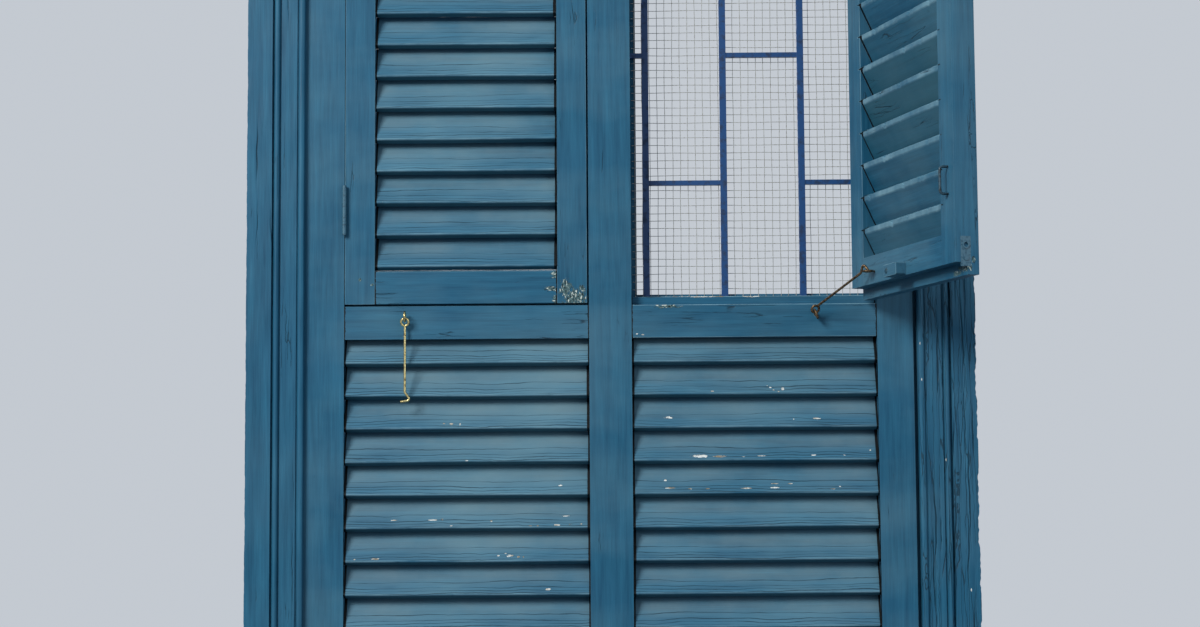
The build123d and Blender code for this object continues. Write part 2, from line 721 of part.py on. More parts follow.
left_hook = hook(axis_l, hang, tip_direction(axis_l, hang, 0))
right_hook = hook(axis_r, rod_way, tip_r)
keep("left_hook", left_hook.moved(Pos(pivot_l)))
keep("right_hook", right_hook.moved(Pos(pivot_r)))
keep("left_rail_eye", screw_eye(tuple(left_eye), Vector(1, 0, 0), EYE_R, EYE_WIRE_R, 0, 1))
keep("right_rail_eye", screw_eye(tuple(right_eye), gauge.cross(inward), EYE_R, EYE_WIRE_R, 0, 1))

held = square_to(axis_r, rod_way)
hanging = square_to(axis_r, hang)
swing = math.degrees(math.atan2(axis_r.dot(held.cross(hanging)), held.dot(hanging))) % 360
print("right leaf pivot", pivot_x, -PIN_OUT, "open", OPEN_ANGLE)
print("right hook pivot", tuple(pivot_r), "axis", tuple(axis_r), "rod", tuple(rod_way), "swing", swing)
print("left hook pivot", tuple(pivot_l), "axis", tuple(axis_l), "hook length", hook_len)
print("levels", "sill", sill_top, "leaf top", leaf_top, "light top", light_top, "casing", casing_top + CASING_W)

os.makedirs("parts", exist_ok=True)
for name, solid in made.items():
    export_step(solid, f"parts/{name}.step")
print(len(made), "pieces")
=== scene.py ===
"""Looks of weathered louvred shutters in their frame. Metres, +X right, +Y into the wall, +Z up."""
import json
import math

import bmesh
import bpy
import numpy as np
from mathutils import Matrix, Vector

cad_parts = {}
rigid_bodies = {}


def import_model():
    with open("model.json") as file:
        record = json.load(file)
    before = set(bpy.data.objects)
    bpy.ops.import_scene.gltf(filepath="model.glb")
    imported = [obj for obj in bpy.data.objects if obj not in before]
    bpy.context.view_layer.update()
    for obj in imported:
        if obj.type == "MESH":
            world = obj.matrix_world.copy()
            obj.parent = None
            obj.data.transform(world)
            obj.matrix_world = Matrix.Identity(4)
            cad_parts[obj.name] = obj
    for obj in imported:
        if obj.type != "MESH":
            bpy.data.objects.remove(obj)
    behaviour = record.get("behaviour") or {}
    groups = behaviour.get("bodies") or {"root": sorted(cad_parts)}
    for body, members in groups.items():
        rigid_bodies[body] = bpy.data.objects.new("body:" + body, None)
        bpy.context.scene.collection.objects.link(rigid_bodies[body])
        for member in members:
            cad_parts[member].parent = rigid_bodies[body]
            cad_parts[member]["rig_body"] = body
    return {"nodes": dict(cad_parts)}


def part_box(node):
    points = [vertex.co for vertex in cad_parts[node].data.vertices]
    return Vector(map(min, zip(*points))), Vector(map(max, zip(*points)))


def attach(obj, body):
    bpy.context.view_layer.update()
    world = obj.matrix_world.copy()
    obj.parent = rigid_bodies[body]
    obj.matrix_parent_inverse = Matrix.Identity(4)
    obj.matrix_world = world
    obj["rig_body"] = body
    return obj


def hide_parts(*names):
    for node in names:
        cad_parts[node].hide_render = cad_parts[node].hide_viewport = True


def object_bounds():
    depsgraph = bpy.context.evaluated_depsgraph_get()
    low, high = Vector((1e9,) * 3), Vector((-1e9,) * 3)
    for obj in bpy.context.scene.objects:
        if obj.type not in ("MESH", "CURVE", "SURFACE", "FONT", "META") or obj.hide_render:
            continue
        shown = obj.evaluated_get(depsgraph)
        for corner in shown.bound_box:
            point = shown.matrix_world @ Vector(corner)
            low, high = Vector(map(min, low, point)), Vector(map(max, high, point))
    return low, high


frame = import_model()
cad_box = [list(corner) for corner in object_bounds()]

# Sizes that the looks share with the model
SLAT_SLOPE = math.radians(63.5)
SLAT_CHORD = 0.0575
SLAT_T = 0.0125
SLAT_LIP = 0.0065
SLAT_SETBACK = 0.0003
FIXED_FIRST = -0.092
FIXED_PITCH = -0.0533
FIXED_SLATS = 10
LEAF_FIRST = 0.065
LEAF_PITCH = 0.0523
LEAF_SLATS = 12
OPEN_ANGLE = math.radians(106.3)
PIVOT = (0.431, -0.0056)
BUTTON_SCREW_X = 0.252
BUTTON_FACE_Y = 0.0537
FACE_RIGHT = 0.4955
CASING_W = 0.093
SLAT_END_GAP = (0.0022, 0.0050)
HOUSING = 0.0075
WIRE_R = 0.0005
WIRE_PITCH = 0.0127
HINGE_LEVELS = {"lower": 0.157, "upper": 0.5965}
HINGE_SCREW_PITCH = 0.026
HINGE_SCREW_Y = 0.014
HINGE_HALF_GAP = 0.0003

# Joints across X between rails and posts: of the right side of the frame, and of the closed leaf
FRAME_JOINTS = [0.0350, 0.4310]
LEAF_JOINTS = [-0.0860, -0.3818]

# Places across the casing, from its inner edge: bead, quirk, band, quirk, bead, quirk, outer band
BEAD_END = 0.0105
BAND_START = 0.0125
BAND_END = 0.038
OUTER_BEAD_START = 0.040
OUTER_BEAD_END = 0.0505
OUTER_BAND_START = 0.0525

# Knot in the right casing: its place across and up, and the radius, width and depth of its sunk rings
KNOT = (0.066, -0.154)
KNOT_RINGS = [(0.0095, 0.0016, 0.0011), (0.0175, 0.0022, 0.0007)]

# How far the casing's parts stand out from the frame's face
QUIRK_H = 0.0086
BEAD_RISE = 0.0034
BAND_H = 0.011
OUTER_BEAD_RISE = 0.0064
OUTER_BAND_H = 0.016
CASING_EDGE_H = 0.010

# Round corners of a slat, and its wear: how far from each edge it reaches, and how much wood it takes
NOSE_ROUND = 0.0022
BACK_ROUND = 0.0014
LIP_ROUND = 0.0005
NOSE_REACH = 0.007
NOSE_LOSS_ALONG = 0.0028
NOSE_LOSS_THROUGH = 0.0022
TOP_REACH = 0.012
TOP_LOSS = 0.0075

# Sizes that only the looks have
SLAT_STEP = 0.0043
TONGUE_START = 0.0002
CASING_STEP = 0.0045
WIRE_STATIONS = 26
WIRE_SIDES = 6
HINGE_SCREW_R = 0.0021
HINGE_SCREW_RISE = 0.06
BUTTON_SCREW_R = 0.0052
BUTTON_SCREW_RISE = 0.42
SCREW_RINGS = 9
SCREW_SIDES = 28
WORN_EDGE = 0.0012
WORN_BAR_EDGE = 0.0010
WORN_BUTTON_EDGE = 0.0009
SHARP_ANGLE = math.radians(38)
CREASE_ANGLE = math.radians(40)
FLOOR_REACH = 9.0
FLOOR_BACK = 3.5

# Camera, as fitted to the frame's edges: yaw, pitch and roll in degrees, lens in millimetres
CAMERA_TURNS = (-0.26, 5.27, -0.38)
CAMERA_PLACE = (0.0, -3.672, -0.3525)
CAMERA_LENS = 68.28

# Lamps: name, place, width, watts, colour
LAMPS = [
    ("key", (-3.1, -4.0, 2.75), 1.9, 300.0, (1.0, 0.97, 0.92)),
    ("fill", (2.8, -3.0, 0.9), 2.5, 26.0, (0.86, 0.93, 1.0)),
    ("back_fill", (0.5, 3.4, 1.6), 2.5, 46.0, (0.95, 0.97, 1.0)),
]
LAMP_TARGET = (0.0, 0.0, 0.1)

# Sky: its strength towards the ground, towards the top, and where it is seen directly or in a reflection
SKY_LOW = 0.10
SKY_HIGH = 0.46
SKY_SEEN = 0.64
SKY_COLOUR = (0.86, 0.92, 1.0, 1.0)


# Camera, floor, lamps and sky

def front_camera():
    """Camera in front of the frame, lower than the middle rails, turned by small measured angles."""
    yaw, pitch, roll = (math.radians(a) for a in CAMERA_TURNS)
    right = np.array([math.cos(yaw), -math.sin(yaw), 0.0])
    forward = np.array([math.sin(yaw) * math.cos(pitch), math.cos(yaw) * math.cos(pitch), math.sin(pitch)])
    up = np.cross(right, forward)
    right, up = (
        math.cos(roll) * right + math.sin(roll) * up,
        math.cos(roll) * up - math.sin(roll) * right,
    )
    data = bpy.data.cameras.new("camera")
    data.sensor_fit = "HORIZONTAL"
    data.sensor_width = 36.0
    data.lens = CAMERA_LENS
    camera = bpy.data.objects.new("camera", data)
    turn = Matrix((right, up, -forward)).transposed().to_4x4()
    camera.matrix_world = Matrix.Translation(CAMERA_PLACE) @ turn
    bpy.context.scene.collection.objects.link(camera)
    bpy.context.scene.camera = camera


def lamp(name, place, size, watts, colour):
    """Square area lamp that looks at the middle of the frame."""
    data = bpy.data.lights.new(name, "AREA")
    data.size = size
    data.energy = watts
    data.color = colour
    piece = bpy.data.objects.new(name, data)
    piece.location = place
    piece.rotation_euler = (Vector(LAMP_TARGET) - Vector(place)).to_track_quat("-Z", "Y").to_euler()
    bpy.context.scene.collection.objects.link(piece)


def studio():
    """Pale floor, a key lamp, two fills, and a sky that is brighter above and pale where it is seen."""
    low = cad_box[0][2]
    near = [(x, -FLOOR_REACH, low) for x in (-FLOOR_REACH, FLOOR_REACH)]
    far = [(x, FLOOR_BACK, low) for x in (FLOOR_REACH, -FLOOR_REACH)]
    add_floor(near + far, FLOOR)
    for one in LAMPS:
        lamp(*one)
    world = bpy.data.worlds.new("sky")
    world.use_nodes = True
    tree = world.node_tree
    sky = tree.nodes["Background"]
    sky.inputs["Color"].default_value = SKY_COLOUR
    way = add(tree, "ShaderNodeTexCoord").outputs["Generated"]
    upward = add(tree, "ShaderNodeSeparateXYZ", {0: way}).outputs["Z"]
    path = add(tree, "ShaderNodeLightPath").outputs
    seen = calc(tree, "MAXIMUM", path["Is Camera Ray"], path["Is Glossy Ray"])
    seen = calc(tree, "MAXIMUM", seen, path["Is Transmission Ray"])
    even = span(tree, upward, -0.25, 0.35, SKY_LOW, SKY_HIGH)
    strength = calc(tree, "MAXIMUM", even, calc(tree, "MULTIPLY", seen, SKY_SEEN))
    tree.links.new(strength, sky.inputs["Strength"])
    bpy.context.scene.world = world
    bpy.context.scene.view_settings.view_transform = "Standard"


def add_floor(corners, colour):
    """Flat pale sheet under the frame. It takes the shadow and throws no light back up."""
    mesh = bpy.data.meshes.new("floor")
    mesh.from_pydata(corners, [], [(0, 1, 2, 3)])
    sheet = bpy.data.objects.new("floor", mesh)
    bpy.context.scene.collection.objects.link(sheet)
    sheet.visible_diffuse = False
    material = bpy.data.materials.new("floor")
    material.use_nodes = True
    shader = material.node_tree.nodes["Principled BSDF"]
    shader.inputs["Base Color"].default_value = colour
    shader.inputs["Roughness"].default_value = 0.9
    shader.inputs["Specular IOR Level"].default_value = 0.1
    mesh.materials.append(material)


# Short ways to write node trees

def add(tree, kind, inputs=None, **settings):
    """Add one node, with its settings and with values or sockets for its inputs."""
    node = tree.nodes.new(kind)
    for key, value in settings.items():
        setattr(node, key, value)
    for key, value in (inputs or {}).items():
        if isinstance(value, bpy.types.NodeSocket):
            tree.links.new(value, node.inputs[key])
        else:
            node.inputs[key].default_value = value
    return node


def calc(tree, operation, a, b=0.0, clamp=False):
    """One step of arithmetic on one or two values."""
    return add(tree, "ShaderNodeMath", {0: a, 1: b}, operation=operation, use_clamp=clamp).outputs[0]


def span(tree, value, low, high, to_low=0.0, to_high=1.0):
    """Carry a value from one range over to another, and hold it inside the second."""
    inputs = {"Value": value, "From Min": low, "From Max": high, "To Min": to_low, "To Max": to_high}
    return add(tree, "ShaderNodeMapRange", inputs).outputs[0]


def blend(tree, factor, a, b):
    """Colour between two: the first where the factor is 0 and the second where it is 1."""
    return add(tree, "ShaderNodeMix", {0: factor, 6: a, 7: b}, data_type="RGBA").outputs[2]


def stretch(tree, vector, along, across):
    """Scale a pattern's space, so that it is long along the grain and short across it."""
    inputs = {0: vector, 1: (along, across, across)}
    return add(tree, "ShaderNodeVectorMath", inputs, operation="MULTIPLY").outputs[0]


def noise(tree, vector, detail=3.0, rough=0.5, distortion=0.0):
    """Smooth noise in a pattern's space, mostly between 0.3 and 0.7."""
    inputs = {"Vector": vector, "Scale": 1.0, "Detail": detail, "Roughness": rough}
    return add(tree, "ShaderNodeTexNoise", {**inputs, "Distortion": distortion}).outputs[0]


def tone(red, green, blue):
    """Linear colour of an sRGB one given in 0 to 255."""
    levels = np.array([red, green, blue]) / 255.0
    linear = np.where(levels < 0.04045, levels / 12.92, ((levels + 0.055) / 1.055) ** 2.4)
    return (*linear.tolist(), 1.0)


FLOOR = tone(176, 182, 189)
PAINT_DEEP = tone(12, 70, 100)
PAINT_LIGHT = tone(40, 106, 138)
PAINT_CLOUD = tone(32, 88, 122)
# Pale tone for faces that turn up: painted light from above, and faded patches
PAINT_TOP_LIT_FADED = tone(118, 158, 172)
# Painted shade tone for the slats' downward nose faces and, by a random amount per slat, their back faces
PAINT_SHADE_TONE = tone(46, 94, 110)
# Pale painted highlight along rounded edges and slat noses
PAINT_EDGE_HIGHLIGHT = tone(124, 164, 182)
DUST = tone(128, 148, 150)
CRACK = tone(13, 38, 52)
CHIP_RIM = tone(22, 52, 68)
PRIMER = tone(222, 229, 229)
BARE_WOOD = tone(146, 134, 112)
FLAKE_PIT = tone(18, 36, 42)
FLAKE_OLD = tone(74, 106, 112)
FLAKE_WHITE = tone(214, 224, 218)
# Near black: painted shadow in the gaps at the slats' ends, and dark cracks over joints
GAP = tone(5, 10, 14)


def new_group(name, inputs, outputs):
    """Shader group with named sockets. Returns its tree, what comes in and its output node."""
    tree = bpy.data.node_groups.new(name, "ShaderNodeTree")
    kinds = {"v": "NodeSocketVector", "f": "NodeSocketFloat", "c": "NodeSocketColor"}
    for socket, kind in inputs.items():
        tree.interface.new_socket(socket, in_out="INPUT", socket_type=kinds[kind])
    for socket, kind in outputs.items():
        tree.interface.new_socket(socket, in_out="OUTPUT", socket_type=kinds[kind])
    source = tree.nodes.new("NodeGroupInput")
    return tree, source.outputs, tree.nodes.new("NodeGroupOutput")


def place_group(tree, group, inputs):
    """Put a group into a tree and return what comes out of it."""
    return add(tree, "ShaderNodeGroup", inputs, node_tree=group).outputs


def grain_group():
    """Brush marks and grain: two stretched noises, the fine one laid over the broad one."""
    tree, given, out = new_group("brushed grain", {"Vector": "v"}, {"Streaks": "f", "Height": "f"})
    broad = noise(tree, stretch(tree, given["Vector"], 5.0, 95.0), 5.0, 0.6)
    fine = noise(tree, stretch(tree, given["Vector"], 14.0, 620.0), 4.0, 0.65)
    both = calc(tree, "ADD", calc(tree, "MULTIPLY", broad, 0.62), calc(tree, "MULTIPLY", fine, 0.38))
    tree.links.new(span(tree, both, 0.34, 0.66), out.inputs["Streaks"])
    tree.links.new(both, out.inputs["Height"])
    return tree


def crack_group():
    """Paint cracks along the grain: the borders of long thin cells, kept where a broad noise is high."""
    tree, given, out = new_group("paint cracks", {"Vector": "v", "Amount": "f"}, {"Mask": "f"})
    wander = noise(tree, stretch(tree, given["Vector"], 26.0, 26.0), 3.0, 0.6)
    shift = add(tree, "ShaderNodeVectorMath", {0: wander, 1: (0.0, 0.007, 0.007)}, operation="MULTIPLY")
    moved = add(tree, "ShaderNodeVectorMath", {0: given["Vector"], 1: shift.outputs[0]}, operation="ADD")
    cells = add(
        tree, "ShaderNodeTexVoronoi", {"Vector": stretch(tree, moved.outputs[0], 4.5, 120.0), "Scale": 1.0},
        feature="DISTANCE_TO_EDGE",
    ).outputs["Distance"]
    line = span(tree, cells, 0.030, 0.008)
    where = noise(tree, stretch(tree, given["Vector"], 7.0, 30.0), 4.0, 0.6)
    limit = calc(tree, "SUBTRACT", 0.78, calc(tree, "MULTIPLY", given["Amount"], 0.42))
    kept = add(
        tree, "ShaderNodeMapRange",
        {"Value": where, "From Min": limit, "From Max": calc(tree, "ADD", limit, 0.06)},
    ).outputs[0]
    tree.links.new(calc(tree, "MULTIPLY", line, kept), out.inputs["Mask"])
    return tree


def split_group():
    """Long splits beside a slat's nose: lines at four heights that wander, and come and go on the way."""
    inputs = {"Vector": "v", "Rise": "f", "Amount": "f"}
    tree, given, out = new_group("splits along the nose", inputs, {"Mask": "f"})
    splits = [(0.0032, 0.00060, 3.1), (0.0080, 0.00050, 4.3), (0.0132, 0.00048, 5.9), (0.0235, 0.00042, 7.7)]
    wander = noise(tree, stretch(tree, given["Vector"], 8.0, 25.0), 4.0, 0.55)
    level = calc(tree, "ADD", given["Rise"], span(tree, wander, 0.3, 0.7, -0.0032, 0.0032))
    mask = None
    for height, width, pace in splits:
        away = calc(tree, "ABSOLUTE", calc(tree, "SUBTRACT", level, height))
        where = noise(tree, stretch(tree, given["Vector"], pace, 41.0 + pace), 3.0, 0.6)
        wide = span(tree, calc(tree, "ADD", where, given["Amount"]), 0.56, 0.80, 0.0, width)
        line = span(tree, calc(tree, "SUBTRACT", away, wide), 0.0002, -0.0001)
        mask = line if mask is None else calc(tree, "MAXIMUM", mask, line)
    tree.links.new(mask, out.inputs["Mask"])
    return tree


def chip_group():
    """Chipped paint: a rough noise above a limit that falls where the surface is worn."""
    tree, given, out = new_group("paint chips", {"Vector": "v", "Wear": "f"}, {"Mask": "f", "Rim": "f"})
    coarse = noise(tree, stretch(tree, given["Vector"], 90.0, 250.0), 5.0, 0.65)
    small = noise(tree, stretch(tree, given["Vector"], 380.0, 900.0), 3.0, 0.6)
    flakes = calc(tree, "ADD", calc(tree, "MULTIPLY", coarse, 0.62), calc(tree, "MULTIPLY", small, 0.38))
    raised = calc(tree, "ADD", flakes, calc(tree, "MULTIPLY", given["Wear"], 0.42))
    tree.links.new(span(tree, raised, 0.850, 0.870), out.inputs["Mask"])
    tree.links.new(span(tree, raised, 0.800, 0.860), out.inputs["Rim"])
    return tree


def flake_group():
    """Old lifted paint near its marks: fine flecks, dark in the pits, grey-green, white primer on top."""
    outputs = {"Mask": "f", "Colour": "c", "Height": "f"}
    tree, given, out = new_group("flaked paint", {"Vector": "v", "Near": "f"}, outputs)
    fleck = noise(tree, stretch(tree, given["Vector"], 190.0, 460.0), 2.0, 0.55, 0.6)
    broken = noise(tree, stretch(tree, given["Vector"], 110.0, 260.0), 4.0, 0.65)
    colour = blend(tree, span(tree, fleck, 0.40, 0.48), FLAKE_PIT, FLAKE_OLD)
    colour = blend(tree, span(tree, fleck, 0.59, 0.63), colour, FLAKE_WHITE)
    reach = calc(tree, "ADD", given["Near"], span(tree, broken, 0.3, 0.7, -0.85, 0.45))
    inside = calc(tree, "MULTIPLY", span(tree, reach, 0.18, 0.42), span(tree, given["Near"], 0.0, 0.12))
    tree.links.new(inside, out.inputs["Mask"])
    tree.links.new(colour, out.inputs["Colour"])
    tree.links.new(fleck, out.inputs["Height"])
    return tree


def top_lit_fade_group():
    """Paler paint: painted light from above on what faces up, and faded patches from a broad noise."""
    tree, given, out = new_group("top light and fading", {"Vector": "v", "Amount": "f"}, {"Fade": "f"})
    normal = add(tree, "ShaderNodeNewGeometry").outputs["Normal"]
    upward = add(tree, "ShaderNodeSeparateXYZ", {0: normal}).outputs["Z"]
    facing = span(tree, upward, 0.05, 0.95)
    cloud = noise(tree, stretch(tree, given["Vector"], 3.2, 5.5), 4.0, 0.55)
    # Paler share: painted light from above on upward faces, plus faded patches from the noise
    worn = calc(tree, "ADD", calc(tree, "MULTIPLY", facing, 0.42), span(tree, cloud, 0.42, 0.72, 0.0, 0.45))
    tree.links.new(calc(tree, "MULTIPLY", worn, given["Amount"], True), out.inputs["Fade"])
    return tree


GRAIN = grain_group()
CRACKS = crack_group()
SPLITS = split_group()
CHIPS = chip_group()
FLAKES = flake_group()
TOP_LIT_FADE = top_lit_fade_group()

ALONG_X = (0.0, 0.0, 0.0)
ALONG_Z = (0.0, math.radians(90.0), 0.0)
ALONG_LEAF = (0.0, 0.0, -OPEN_ANGLE)


def own(tree, label):
    """A value that the piece itself carries, and 0 on a piece without it."""
    return add(tree, "ShaderNodeAttribute", attribute_name=label).outputs["Fac"]


def near_marks(tree, place, marks):
    """How near a point is to the nearest mark, seen from the front.

    It is 1 up to 0.45 of the mark's half size and falls to 0 at one and a half times the half size. Each
    mark is x, z, half width and half height in millimetres. One that ends in depth also has y and half
    depth.
    """
    nearest = None
    for x, z, wide, high, *deep in marks:
        y, half = deep or (0.0, math.inf)
        scale = (1000.0 / wide, 1000.0 / half, 1000.0 / high)
        shift = (-x / wide, -y / half, -z / high)
        moved = add(tree, "ShaderNodeVectorMath", {0: place, 1: scale, 2: shift}, operation="MULTIPLY_ADD")
        away = add(tree, "ShaderNodeVectorMath", {0: moved.outputs[0]}, operation="LENGTH").outputs["Value"]
        nearest = away if nearest is None else calc(tree, "MINIMUM", nearest, away)
    return span(tree, nearest, 1.5, 0.45)


def seam_mask(tree, place, along, seams):
    """Cracked paint over joints: thin lines at the given places across X, of uneven width."""
    x = add(tree, "ShaderNodeSeparateXYZ", {0: place}).outputs["X"]
    width = span(tree, noise(tree, stretch(tree, along, 70.0, 70.0), 4.0, 0.7), 0.35, 0.65, 0.0007, 0.0024)
    mask = None
    for seam in seams:
        away = calc(tree, "ABSOLUTE", calc(tree, "SUBTRACT", x, seam))
        line = calc(tree, "LESS_THAN", away, width)
        mask = line if mask is None else calc(tree, "MAXIMUM", mask, line)
    return mask


def paint(
    name, grain_way, cracked=0.35, top_lit_faded=0.55, flaked=(), chipped=(), lifted=0.5, seams=(), split=0.0,
):
    """Old blue-green house paint on wood, with brush marks, cracks, chips down to primer and bare wood.

    How much it is cracked, made paler on top by painted light from above and by fading, lifted by the brush
    and split beside a slat's nose are plain amounts.
    Where it is flaked and chipped are lists of marks, and seams are places of joints across X.
    """
    material = bpy.data.materials.new(name)
    material.use_nodes = True
    tree = material.node_tree
    shader = tree.nodes["Principled BSDF"]
    place = add(tree, "ShaderNodeTexCoord").outputs["Object"]
    along = add(tree, "ShaderNodeMapping", {"Vector": place, "Rotation": grain_way}).outputs[0]
    grain = place_group(tree, GRAIN, {"Vector": along})
    upper = own(tree, "upper")
    cracks = place_group(tree, CRACKS, {"Vector": along, "Amount": cracked})["Mask"]
    if split:
        given = {"Vector": along, "Rise": own(tree, "rise"), "Amount": split}
        cracks = calc(tree, "MAXIMUM", cracks, place_group(tree, SPLITS, given)["Mask"])
    cracks = calc(tree, "MAXIMUM", cracks, span(tree, own(tree, "crack"), 0.22, 0.6))
    # How much paler: painted light from above on upward faces, and faded patches
    fade = place_group(tree, TOP_LIT_FADE, {"Vector": place, "Amount": top_lit_faded})["Fade"]
    wear = own(tree, "wear")
    if chipped:
        wear = calc(tree, "MAXIMUM", wear, near_marks(tree, place, chipped))
    chips = place_group(tree, CHIPS, {"Vector": along, "Wear": wear})

    body = blend(tree, grain["Streaks"], PAINT_DEEP, PAINT_LIGHT)
    cloud = noise(tree, stretch(tree, place, 9.0, 9.0), 5.0, 0.6)
    body = blend(tree, span(tree, cloud, 0.35, 0.7, 0.0, 0.35), body, PAINT_CLOUD)
    # Painted light from above and faded patches make the paint paler
    body = blend(tree, fade, body, PAINT_TOP_LIT_FADED)
    dust = calc(tree, "MULTIPLY", upper, span(tree, cloud, 0.3, 0.65, 0.03, 0.30))
    body = blend(tree, dust, body, DUST)
    # Painted shade tone: strongest on downward nose faces, a random share per slat on back faces
    body = blend(tree, calc(tree, "MULTIPLY", own(tree, "shade"), 0.7), body, PAINT_SHADE_TONE)
    # Painted highlight along rounded edges and slat noses, made uneven by a noise
    edge_highlight = calc(tree, "MULTIPLY", own(tree, "edge"), span(tree, cloud, 0.38, 0.6, 0.15, 0.8))
    body = blend(tree, edge_highlight, body, PAINT_EDGE_HIGHLIGHT)
    body = blend(tree, calc(tree, "MULTIPLY", cracks, 0.75), body, CRACK)
    body = blend(tree, calc(tree, "MULTIPLY", chips["Rim"], 0.6), body, CHIP_RIM)
    patch = noise(tree, stretch(tree, along, 60.0, 140.0), 4.0, 0.6)
    under = blend(tree, span(tree, patch, 0.46, 0.62), PRIMER, BARE_WOOD)
    body = blend(tree, chips["Mask"], body, under)
    height = calc(tree, "MULTIPLY", grain["Height"], lifted)
    if flaked:
        flakes = place_group(tree, FLAKES, {"Vector": along, "Near": near_marks(tree, place, flaked)})
        body = blend(tree, flakes["Mask"], body, flakes["Colour"])
        height = calc(tree, "ADD", height, calc(tree, "MULTIPLY", flakes["Mask"], flakes["Height"]))
    gap = own(tree, "gap")
    if seams:
        gap = calc(tree, "MAXIMUM", gap, seam_mask(tree, place, along, seams))
    # Near black: painted shadow on the slat tongues in the end gaps, and dark cracks over joints
    body = blend(tree, gap, body, GAP)
    tree.links.new(body, shader.inputs["Base Color"])

    rough = span(tree, cloud, 0.3, 0.7, 0.44, 0.62)
    rough = calc(tree, "ADD", rough, calc(tree, "MULTIPLY", chips["Mask"], 0.3), True)
    tree.links.new(rough, shader.inputs["Roughness"])
    shader.inputs["Specular IOR Level"].default_value = 0.22
    height = calc(tree, "SUBTRACT", height, calc(tree, "MULTIPLY", cracks, 0.9))
    height = calc(tree, "SUBTRACT", height, calc(tree, "MULTIPLY", chips["Mask"], 0.7))
    bump = add(tree, "ShaderNodeBump", {"Strength": 0.75, "Distance": 0.0009, "Height": height})
    tree.links.new(bump.outputs[0], shader.inputs["Normal"])
    return material


def metal(name, clean, dirty, metallic, rough, limit=0.5, scale=260.0):
    """Metal with tarnish or old paint over it: dirty where a broken noise is over a limit, else clean."""
    material = bpy.data.materials.new(name)
    material.use_nodes = True
    tree = material.node_tree
    shader = tree.nodes["Principled BSDF"]
    place = add(tree, "ShaderNodeTexCoord").outputs["Object"]
    blotch = noise(tree, stretch(tree, place, scale, scale), 5.0, 0.62)
    mask = span(tree, blotch, limit, limit + 0.14)
    tree.links.new(blend(tree, mask, clean, dirty), shader.inputs["Base Color"])
    shader.inputs["Metallic"].default_value = metallic
    rougher = calc(tree, "ADD", calc(tree, "MULTIPLY", mask, 0.25), rough, True)
    tree.links.new(rougher, shader.inputs["Roughness"])
    bump = add(tree, "ShaderNodeBump", {"Strength": 0.5, "Distance": 0.0004, "Height": blotch})
    tree.links.new(bump.outputs[0], shader.inputs["Normal"])
    return material


# Meshes

def add_piece(name, points, faces, material, body, nodes):
    """Make one piece from arrays and tie it to its body, its finish and the nodes it stands for."""
    mesh = bpy.data.meshes.new(name)
    mesh.from_pydata(np.asarray(points).reshape(-1, 3).tolist(), [], faces)
    mesh.materials.append(material)
    piece = bpy.data.objects.new(name, mesh)
    bpy.context.scene.collection.objects.link(piece)
    mesh.shade_smooth()
    mesh.set_sharp_from_angle(angle=CREASE_ANGLE)
    mesh.validate()
    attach(piece, body)
    if nodes:
        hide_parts(*nodes)
    return piece


def carry(piece, label, values):
    """Store a value per point on a piece, for its paint to read."""
    attribute = piece.data.attributes.new(label, "FLOAT", "POINT")
    attribute.data.foreach_set("value", values.reshape(-1).astype(np.float32))


def swept_faces(stations, around, start=0):
    """Faces of a closed tube on a grid of stations by points around, with its two ends closed."""
    k = np.arange(stations - 1)[:, None] * around
    j = np.arange(around)[None, :]
    n = (j + 1) % around
    quads = np.stack([k + j, k + n, k + around + n, k + around + j], axis=-1).reshape(-1, 4) + start
    first = list(range(start + around - 1, start - 1, -1))
    last = list(range(start + (stations - 1) * around, start + stations * around))
    return quads.tolist() + [first, last]


def waves(t, seed, lengths, heights):
    """Smooth wandering line: a sum of sines whose lengths are given and whose phases come from the seed."""
    phases = np.random.default_rng(seed).uniform(0, 2 * math.pi, len(lengths))
    total = np.zeros_like(np.asarray(t, float))
    for length, height, phase in zip(lengths, heights, phases):
        total = total + height * np.sin(2 * math.pi * t / length + phase)
    return total


def swung(points):
    """Turn points of the closed right leaf about the hinge, by the angle at which the hook holds it."""
    points = np.asarray(points, float)
    x, y = points[..., 0] - PIVOT[0], points[..., 1] - PIVOT[1]
    cos, sin = math.cos(OPEN_ANGLE), math.sin(OPEN_ANGLE)
    return np.stack([PIVOT[0] + x * cos - y * sin, PIVOT[1] + x * sin + y * cos, points[..., 2]], axis=-1)


def slat_section():
    """Slat's section, chord by thickness, as points (s, n): round corners and an upright inner edge.

    Each corner is four points on an arc. The straight stretches between them have points that crowd
    towards the nose in front and towards the inner edge behind.
    """
    lip_s, lip_n = SLAT_LIP * math.sin(SLAT_SLOPE), SLAT_LIP * math.cos(SLAT_SLOPE)
    corners = [
        (NOSE_ROUND, NOSE_ROUND, NOSE_ROUND, math.pi, 1.5 * math.pi),
        (SLAT_CHORD - BACK_ROUND, BACK_ROUND, BACK_ROUND, 1.5 * math.pi, 2 * math.pi),
        (SLAT_CHORD - LIP_ROUND, SLAT_T - lip_n, LIP_ROUND, 0.0, SLAT_SLOPE),
        (SLAT_CHORD - lip_s, SLAT_T - LIP_ROUND, LIP_ROUND, SLAT_SLOPE, 0.5 * math.pi),
        (BACK_ROUND, SLAT_T - BACK_ROUND, BACK_ROUND, 0.5 * math.pi, math.pi),
    ]
    between = [(15, 1.5), (2, 1.0), (3, 1.0), (6, 2.2), (3, 1.0)]
    loop = []
    for index, (s, n, radius, start, stop) in enumerate(corners):
        angles = np.linspace(start, stop, 4)
        loop += [(s + radius * math.cos(a), n + radius * math.sin(a)) for a in angles]
        s2, n2, r2, start2, _ = corners[(index + 1) % len(corners)]
        end = (s2 + r2 * math.cos(start2), n2 + r2 * math.sin(start2))
        last = loop[-1]
        count, crowding = between[index]
        for k in range(1, count + 1):
            t = (k / (count + 1)) ** crowding
            loop.append((last[0] * (1 - t) + end[0] * t, last[1] * (1 - t) + end[1] * t))
    return np.array(loop)


